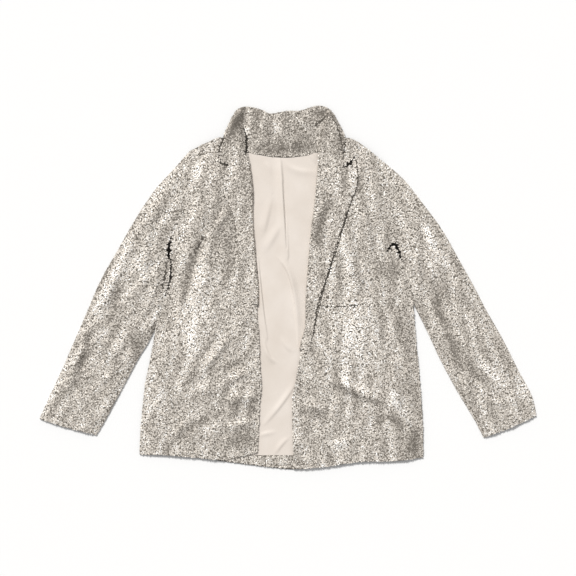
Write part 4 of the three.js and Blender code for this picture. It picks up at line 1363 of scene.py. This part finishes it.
def sleeve_rings(sleeve):
    """Outer and inner rings: the lower wall, half an oval, the upper wall, half an oval."""
    u, v = even(SLEEVE_COLUMNS), even(SLEEVE_ROWS)
    armhole = sleeve["armhole"]
    edges = {"bottom": lambda t: armhole(1 - t), "top": sleeve["cuff"],
             "start": sleeve["outer"], "finish": sleeve["inner"]}
    places = patch(edges, u, v)
    places[0] += [sleeve["side"] * ARMHOLE_GAP, -SEAM_GAP]
    top = sleeve_top(sleeve, places, u, v[:, None])
    radius = SLEEVE_EDGE / 2

    def ring(wall):
        inset = radius - (radius - wall) * np.cos(EDGE_TURN)
        height = radius + (radius - wall) * np.sin(EDGE_TURN)

        def arc(first, second):
            step = places[:, second] - places[:, first]
            step /= np.linalg.norm(step, axis=-1, keepdims=True)
            at = places[:, first][:, None] + step[:, None] * inset[:, None]
            return lift(at, np.broadcast_to(height, at.shape[:-1]))

        middle = slice(1, -1)
        low = lift(places[:, middle], np.full_like(top[:, middle], wall))
        high = lift(places[:, middle], np.maximum(top[:, middle] - wall, wall + LEAST_HOLLOW))
        return np.concatenate([low, arc(-1, -2), high[:, ::-1], arc(0, 1)[:, ::-1]], 1)

    return ring(0.0), ring(SHELL_WALL)


for side, sleeve in SLEEVES.items():
    outer, inner = sleeve_rings(sleeve)
    cut_piece(f"{side}_sleeve_tube", f"{side}_sleeve", outer, inner, form=tube,
              underside=sequin_cells)
    seen = outer[:, SLEEVE_COLUMNS - 1 + EDGE_POINTS:]
    sew_sequins(f"{side}_sleeve_sequins", seen, sleeve["seed"] + SLEEVE_SEED,
                strokes=BRUSHED[f"{side}_sleeve"], comb=sleeve["heading"])

# %% [markdown]
# ## Sheets of cloth
#
# Each piece's sheet is listed as the sheet that it was cut from: width and length of the smallest
# rectangle that holds the cut, how it is held, what it lies on and what is sewn on it. Nothing
# hangs, so no sheet is stretched or draped. A sleeve's sheet is the whole tube opened out. Only
# the list of what is sewn on is read here.

SHEETS = {
    "back_panel": ((0.57, 0.67), "laid", [], []),
    "lining_of_back": ((0.16, 0.62), "laid", ["back_panel"], []),
    "hem_band": ((0.152, 0.028), "folded", ["back_panel"], ["hem_band_sequins"]),
    "collar_top": ((0.41, 0.11), "folded", ["collar_under", "back_panel"], ["collar_sequins"]),
    "collar_under": ((0.36, 0.10), "laid", [], []),
    "right_front_panel": ((0.25, 0.65), "laid", ["back_panel"], ["right_front_sequins"]),
    "left_front_panel": ((0.27, 0.67), "laid", ["back_panel"], ["left_front_sequins"]),
    "right_lapel_facing": ((0.10, 0.29), "folded", ["right_front_panel"],
                           ["right_lapel_sequins"]),
    "left_lapel_facing": ((0.10, 0.39), "folded", ["left_front_panel"],
                          ["left_lapel_sequins"]),
    "right_patch_pocket": ((0.115, 0.125), "laid", ["right_front_panel"],
                           ["right_pocket_sequins"]),
    "left_patch_pocket": ((0.11, 0.115), "laid", ["left_front_panel"],
                          ["left_pocket_sequins"]),
    "right_sleeve_tube": ((0.36, 0.60), "laid", [], ["right_sleeve_sequins"]),
    "left_sleeve_tube": ((0.36, 0.60), "laid", [], ["left_sleeve_sequins"]),
}
# Every piece with sequins sewn on gets the painted pinch shadows on its mesh.
for name, (flat, held, rests_on, sewn_on) in SHEETS.items():
    if sewn_on:
        paint_pinch_shadows(bpy.data.objects[name])
print("sheets declared:", len(SHEETS))

# %% [markdown]
# ## Sequin count

# The looks may stand a little proud of the solids, as cloth does, and no more.

# %% Count the sequins
print("sequins in all:", sum(sequin_counts.values()))
